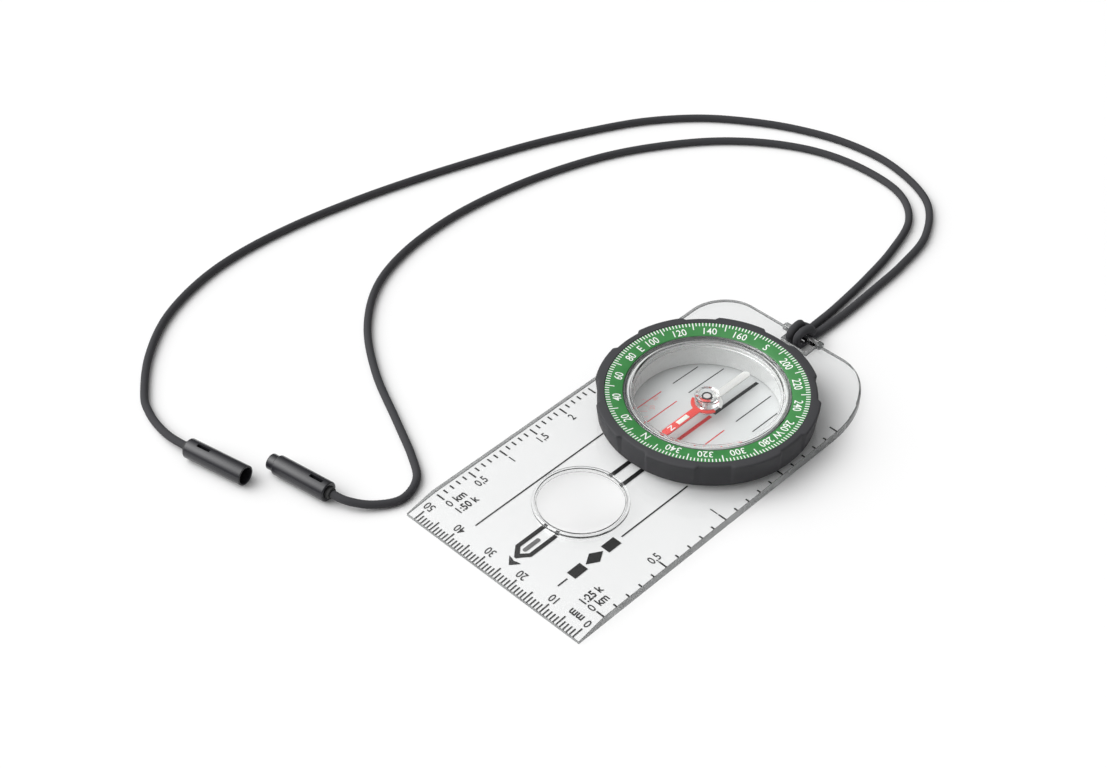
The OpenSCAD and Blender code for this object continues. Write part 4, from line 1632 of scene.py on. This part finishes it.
@dataclass
class Capsule:
    """The sealed capsule: wall, window, floor, keeper and pivot."""

    centre: Point
    wall: Point = (18.6, 20.0)
    neck: float = 20.52
    liner: float = 0.4
    floor_top: float = 1.2
    ink: float = 0.03
    wide_line: float = 1.0
    thin_line: float = 0.3

    def shells(self) -> None:
        """Turns the wall, the window, the floor and the keeper."""
        inner, outer = self.wall
        neck, liner = self.neck, inner + self.liner
        wall = fillet([(inner, 1.22, 0.3), (liner, 1.22, 0), (liner, 7.68, 0.06), (inner, 7.68, 0.06)])
        inside = lathe("capsule_wall", wall, self.centre, PALE, ROUND_SIDES)
        ride(inside, Body.DIAL, "capsule_wall", "capsule_body")
        sleeve = fillet([(liner + 0.02, 1.22, 0), (neck, 1.22, 0), (neck, 2.93, 0.08), (outer, 2.93, 0),
                         (outer, 7.68, 0.06), (liner + 0.02, 7.68, 0.06)])  # fmt: skip
        ride(lathe("capsule_sleeve", sleeve, self.centre, WINDOW, ROUND_SIDES), Body.DIAL, "capsule_wall")
        window = fillet([(0, 7.55, 0), (17.6, 7.55, 0.08), (17.6, 6.7, 0.08), (18.55, 6.7, 0.1),
                         (18.55, 7.7, 0), (19.95, 7.7, 0.06), (19.95, 8.65, 0.3), (19.45, 8.65, 0.06),
                         (19.3, 8.45, 0.04),
                         (19.1, 8.45, 0.04), (18.95, 8.65, 0.06), (18.3, 8.65, 0.25), (17.9, 8.15, 0.15),
                         (0, 8.15, 0)], closed=False)  # fmt: skip
        pane = lathe("capsule_window", window, self.centre, WINDOW, ROUND_SIDES)
        # Painted shade: the steep faces of the window's rim take the dark rim finish.
        tint_steep_faces(pane, RIM_PAINTED_SHADE, self.centre, 17.7, 7.8)
        ride(pane, Body.DIAL, "capsule_window", "capsule_lid")
        floor = fillet([(0, 0.3, 0), (neck, 0.3, 0.1), (neck, 1.2, 0.05), (0, 1.2, 0)], closed=False)
        base = lathe("capsule_floor", floor, self.centre, FLOOR_PALE, ROUND_SIDES)
        ride(base, Body.DIAL, "capsule_floor", "capsule_base")
        keeper = fillet([(neck, 0.15, 0.1), (22.0, 0.15, 0.1), (22.0, 0.85, 0.1), (neck, 0.85, 0.1)])
        holder = lathe("keeper", keeper, self.centre, PALE, ROUND_SIDES)
        ride(holder, Body.DIAL, "keeper_plastic", "retaining_ring")

    def pivot(self) -> None:
        """Turns the metal seat and the pin that the needle turns on."""
        seat = fillet([(0.35, 1.2, 0), (1.45, 1.2, 0), (1.45, 1.45, 0.1), (1.15, 1.45, 0.03),
                       (1.05, 1.3, 0.03), (0.85, 1.3, 0.03), (0.75, 1.45, 0.03),
                       (0.35, 1.45, 0.05)])  # fmt: skip
        ride(lathe("pivot_seat_disc", seat, self.centre, STEEL, 48), Body.DIAL, "seat_metal", "pivot_seat")
        pin = fillet([(0, 1.2, 0), (0.35, 1.2, 0), (0.35, 5.43, 0.1), (0.05, 5.78, 0.02),
                      (0, 5.78, 0)], closed=False)  # fmt: skip
        ride(lathe("pivot_pin_turned", pin, self.centre, STEEL, 32), Body.DIAL, "pin_steel", "pivot_pin")

    def floor_line(self, x: float, y0: float, y1: float, width: float) -> list[Point]:
        """Outline of one line along the floor, at the dial."""
        cx, cy = self.centre
        return bar((cx + x, cy + y0), (cx + x, cy + y1), width)

    def lines(self) -> None:
        """Prints the meridian lines, black towards the rear and red towards the north."""
        z = self.floor_top - 0.005
        reach = 17.6
        spans = [(2.0, self.wide_line, 0.6), (7.8, self.thin_line, 2.2), (13.1, self.thin_line, 2.2)]
        for name, sign, ink in (("south_lines", -1, BLACK_INK), ("north_lines", 1, RED_INK)):
            outlines = []
            for x, width, gap in spans:
                end = math.sqrt(reach**2 - x * x)
                for side in (-1, 1):
                    outlines.append(self.floor_line(side * x, sign * gap, sign * end, width))
            ride(print_shapes(name, outlines, z, self.ink, ink), Body.DIAL, "capsule_floor")

    def declination(self) -> None:
        """Prints the small correction scale near the north end of the floor."""
        cx, cy = self.centre
        outlines = []
        for side in (-1, 1):
            for k in range(1, 5):
                a = math.radians(90 - side * (30 + 8 * k))
                near, far = 14.6, 15.6 if k % 2 else 16.4
                outlines.append(bar(around(self.centre, near, a), around(self.centre, far, a), 0.16))
        z = self.floor_top - 0.005
        marks = print_shapes("correction_marks", outlines, z, self.ink, PALE_RED_INK)
        ride(marks, Body.DIAL, "capsule_floor")
        labels = [
            Label("20", 1.3, (cx + 10.6, cy + 8.3), -48, Weight.LIGHT),
            Label("40", 1.3, (cx + 12.4, cy + 5.2), -66, Weight.LIGHT),
            Label("20", 1.3, (cx - 10.6, cy + 8.3), 48, Weight.LIGHT),
            Label("40", 1.3, (cx - 12.4, cy + 5.2), 66, Weight.LIGHT),
        ]
        numbers = print_labels("correction_numbers", labels, z, self.ink, PALE_RED_INK)
        ride(numbers, Body.DIAL, "capsule_floor")

    def build(self) -> None:
        """Builds the capsule from the outside in."""
        self.shells()
        self.pivot()
        self.lines()
        self.declination()


# ---------------------------------------------------------------- needle


@dataclass
class Needle:
    """The two-coloured needle with its clear hub and jewel."""

    centre: Point
    reach: float = 15.7
    width: float = 2.1
    z: float = 4.15
    thickness: float = 0.4
    hub: float = 3.0
    fork: float = 3.9
    fork_inner: float = 2.3
    fork_gap: float = 15.0
    point_cut: float = 0.7
    hub_z: Point = (4.05, 7.3)

    def half_ring(self) -> tuple[list[Point], list[Point], list[Point]]:
        """Gives one arm's fork, open at the arm: its outside to the right, to the left, and its inside.

        Returns:
            The outside to the right, the outside to the left, and the inside.
        """
        gap = math.radians(self.fork_gap)
        neck = math.acos(self.width / 2 / self.fork)
        steps = 14
        right = [gap + (neck - gap) * k / steps for k in range(steps + 1)]
        left = [math.pi - a for a in reversed(right)]
        inner = [math.pi - gap - (math.pi - 2 * gap) * k / 24 for k in range(25)]
        outside_right = [(self.fork * math.cos(a), self.fork * math.sin(a)) for a in right]
        outside_left = [(self.fork * math.cos(a), self.fork * math.sin(a)) for a in left]
        inside = [(self.fork_inner * math.cos(a), self.fork_inner * math.sin(a)) for a in inner]
        return outside_right, outside_left, inside

    def arm(self, name: str, tip: Sequence[Point], turn: float, finish: Finish) -> bpy.types.Object:
        """Raises one arm with its fork.

        Args:
            name: the piece's name.
            tip: the tip's points, from the right side to the left.
            turn: way that the arm points, in degrees from +Y.
            finish: its paint.

        Returns:
            The arm.
        """
        right, left, inner = self.half_ring()
        outline = [*right, *tip, *left, *inner]
        place = Matrix.Translation((*self.centre, 0)) @ Matrix.Rotation(math.radians(turn), 4, "Z")
        return prism(name, outline, (self.z, self.z + self.thickness), finish, 0.06, place)

    def build(self) -> None:
        """Builds the arms, the marks on the north arm, the hub and its jewel."""
        w, end = self.width / 2, self.reach
        turns = [math.pi * k / 16 for k in range(17)]
        round_tip = [(w * math.cos(a), end - w + w * math.sin(a)) for a in turns]
        cut_tip = [(w, end - self.point_cut), (w - self.point_cut, end),
                   (self.point_cut - w, end), (-w, end - self.point_cut)]  # fmt: skip
        north = self.arm("north_arm", round_tip, 0.0, RED_PAINT)
        south = self.arm("south_arm", cut_tip, 180.0, WHITE_PAINT)
        ride(north, Body.NEEDLE, "needle_red", "needle_north")
        ride(south, Body.NEEDLE, "needle_white", "needle_south")
        cx, cy = self.centre
        top = self.z + self.thickness
        pad = [(cx - 0.625, cy + 6.85), (cx + 0.625, cy + 6.85), (cx + 0.625, cy + 10.6),
               (cx - 0.625, cy + 10.6)]  # fmt: skip
        glow = prism("luminous_pad", pad, (top - 0.1, top + 0.08), GLOW_PAINT, 0.04)
        ride(glow, Body.NEEDLE, "luminous_white", "luminous_patch")
        letter = [Label("N", 1.5, (cx, cy + 12.85), 0, Weight.BOLD, squeeze=1.0)]
        ride(print_labels("north_letter", letter, top - 0.005, 0.03, WHITE_INK), Body.NEEDLE, "needle_red")
        low, high = self.hub_z
        seat = self.z + self.thickness + 0.01
        shank = self.fork_inner - 0.03
        hub = fillet([(0.95, low, 0.05), (shank, low, 0.1), (shank, seat, 0), (self.hub, seat, 0.06),
                      (self.hub, high, 0.3), (2.0, high, 0.08), (2.0, 5.9, 0.15),
                      (0.95, 5.9, 0)])  # fmt: skip
        ride(lathe("clear_hub", hub, self.centre, HUB, 96), Body.NEEDLE, "hub_clear", "needle_hub")
        collar = fillet([(0.95, 5.92, 0), (1.28, 5.92, 0), (1.28, 6.85, 0.08), (0.95, 6.85, 0.08)])
        collar_ring = lathe("collar_ring", collar, self.centre, COLLAR, 64)
        ride(collar_ring, Body.NEEDLE, "collar_metal", "jewel_collar")
        jewel = fillet([(0.40, 5.3, 0), (0.93, 5.3, 0.05), (0.93, 6.75, 0.15), (0, 6.75, 0), (0, 5.85, 0),
                        (0.40, 5.85, 0)], closed=False)  # fmt: skip
        ride(lathe("jewel_cup", jewel, self.centre, JEWEL, 48), Body.NEEDLE, "jewel", "hub_jewel")


def main() -> None:
    """Builds every assembly in order around the frame."""
    logging.basicConfig(level=logging.INFO, format="%(name)s: %(message)s")
    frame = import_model()
    joint = next(j for j in frame["joints"] if j["name"] == "dial_turn")
    dial = (joint["pos_m"][0] / MM, joint["pos_m"][1] / MM)
    studio = Studio()
    studio.place_camera()
    ClaspEnd("socket", (78.55, 76.95), 191.4, 17.2, 3.0).build()
    ClaspEnd("plug", (43.8, 63.6), 9.0, 17.6, 1.6, tip=2.2).build()
    NeckCord().build()
    ClearPlate(dial).build()
    Magnifier().build()
    PlatePrint(TickTree(round_circle=False)).build()
    Bezel(dial).build()
    DegreeRing(dial, TickTree(round_circle=True)).build()
    Capsule(dial).build()
    Needle(dial).build()
    studio.lay_floor()
    studio.light()


if __name__ == "__main__":
    main()
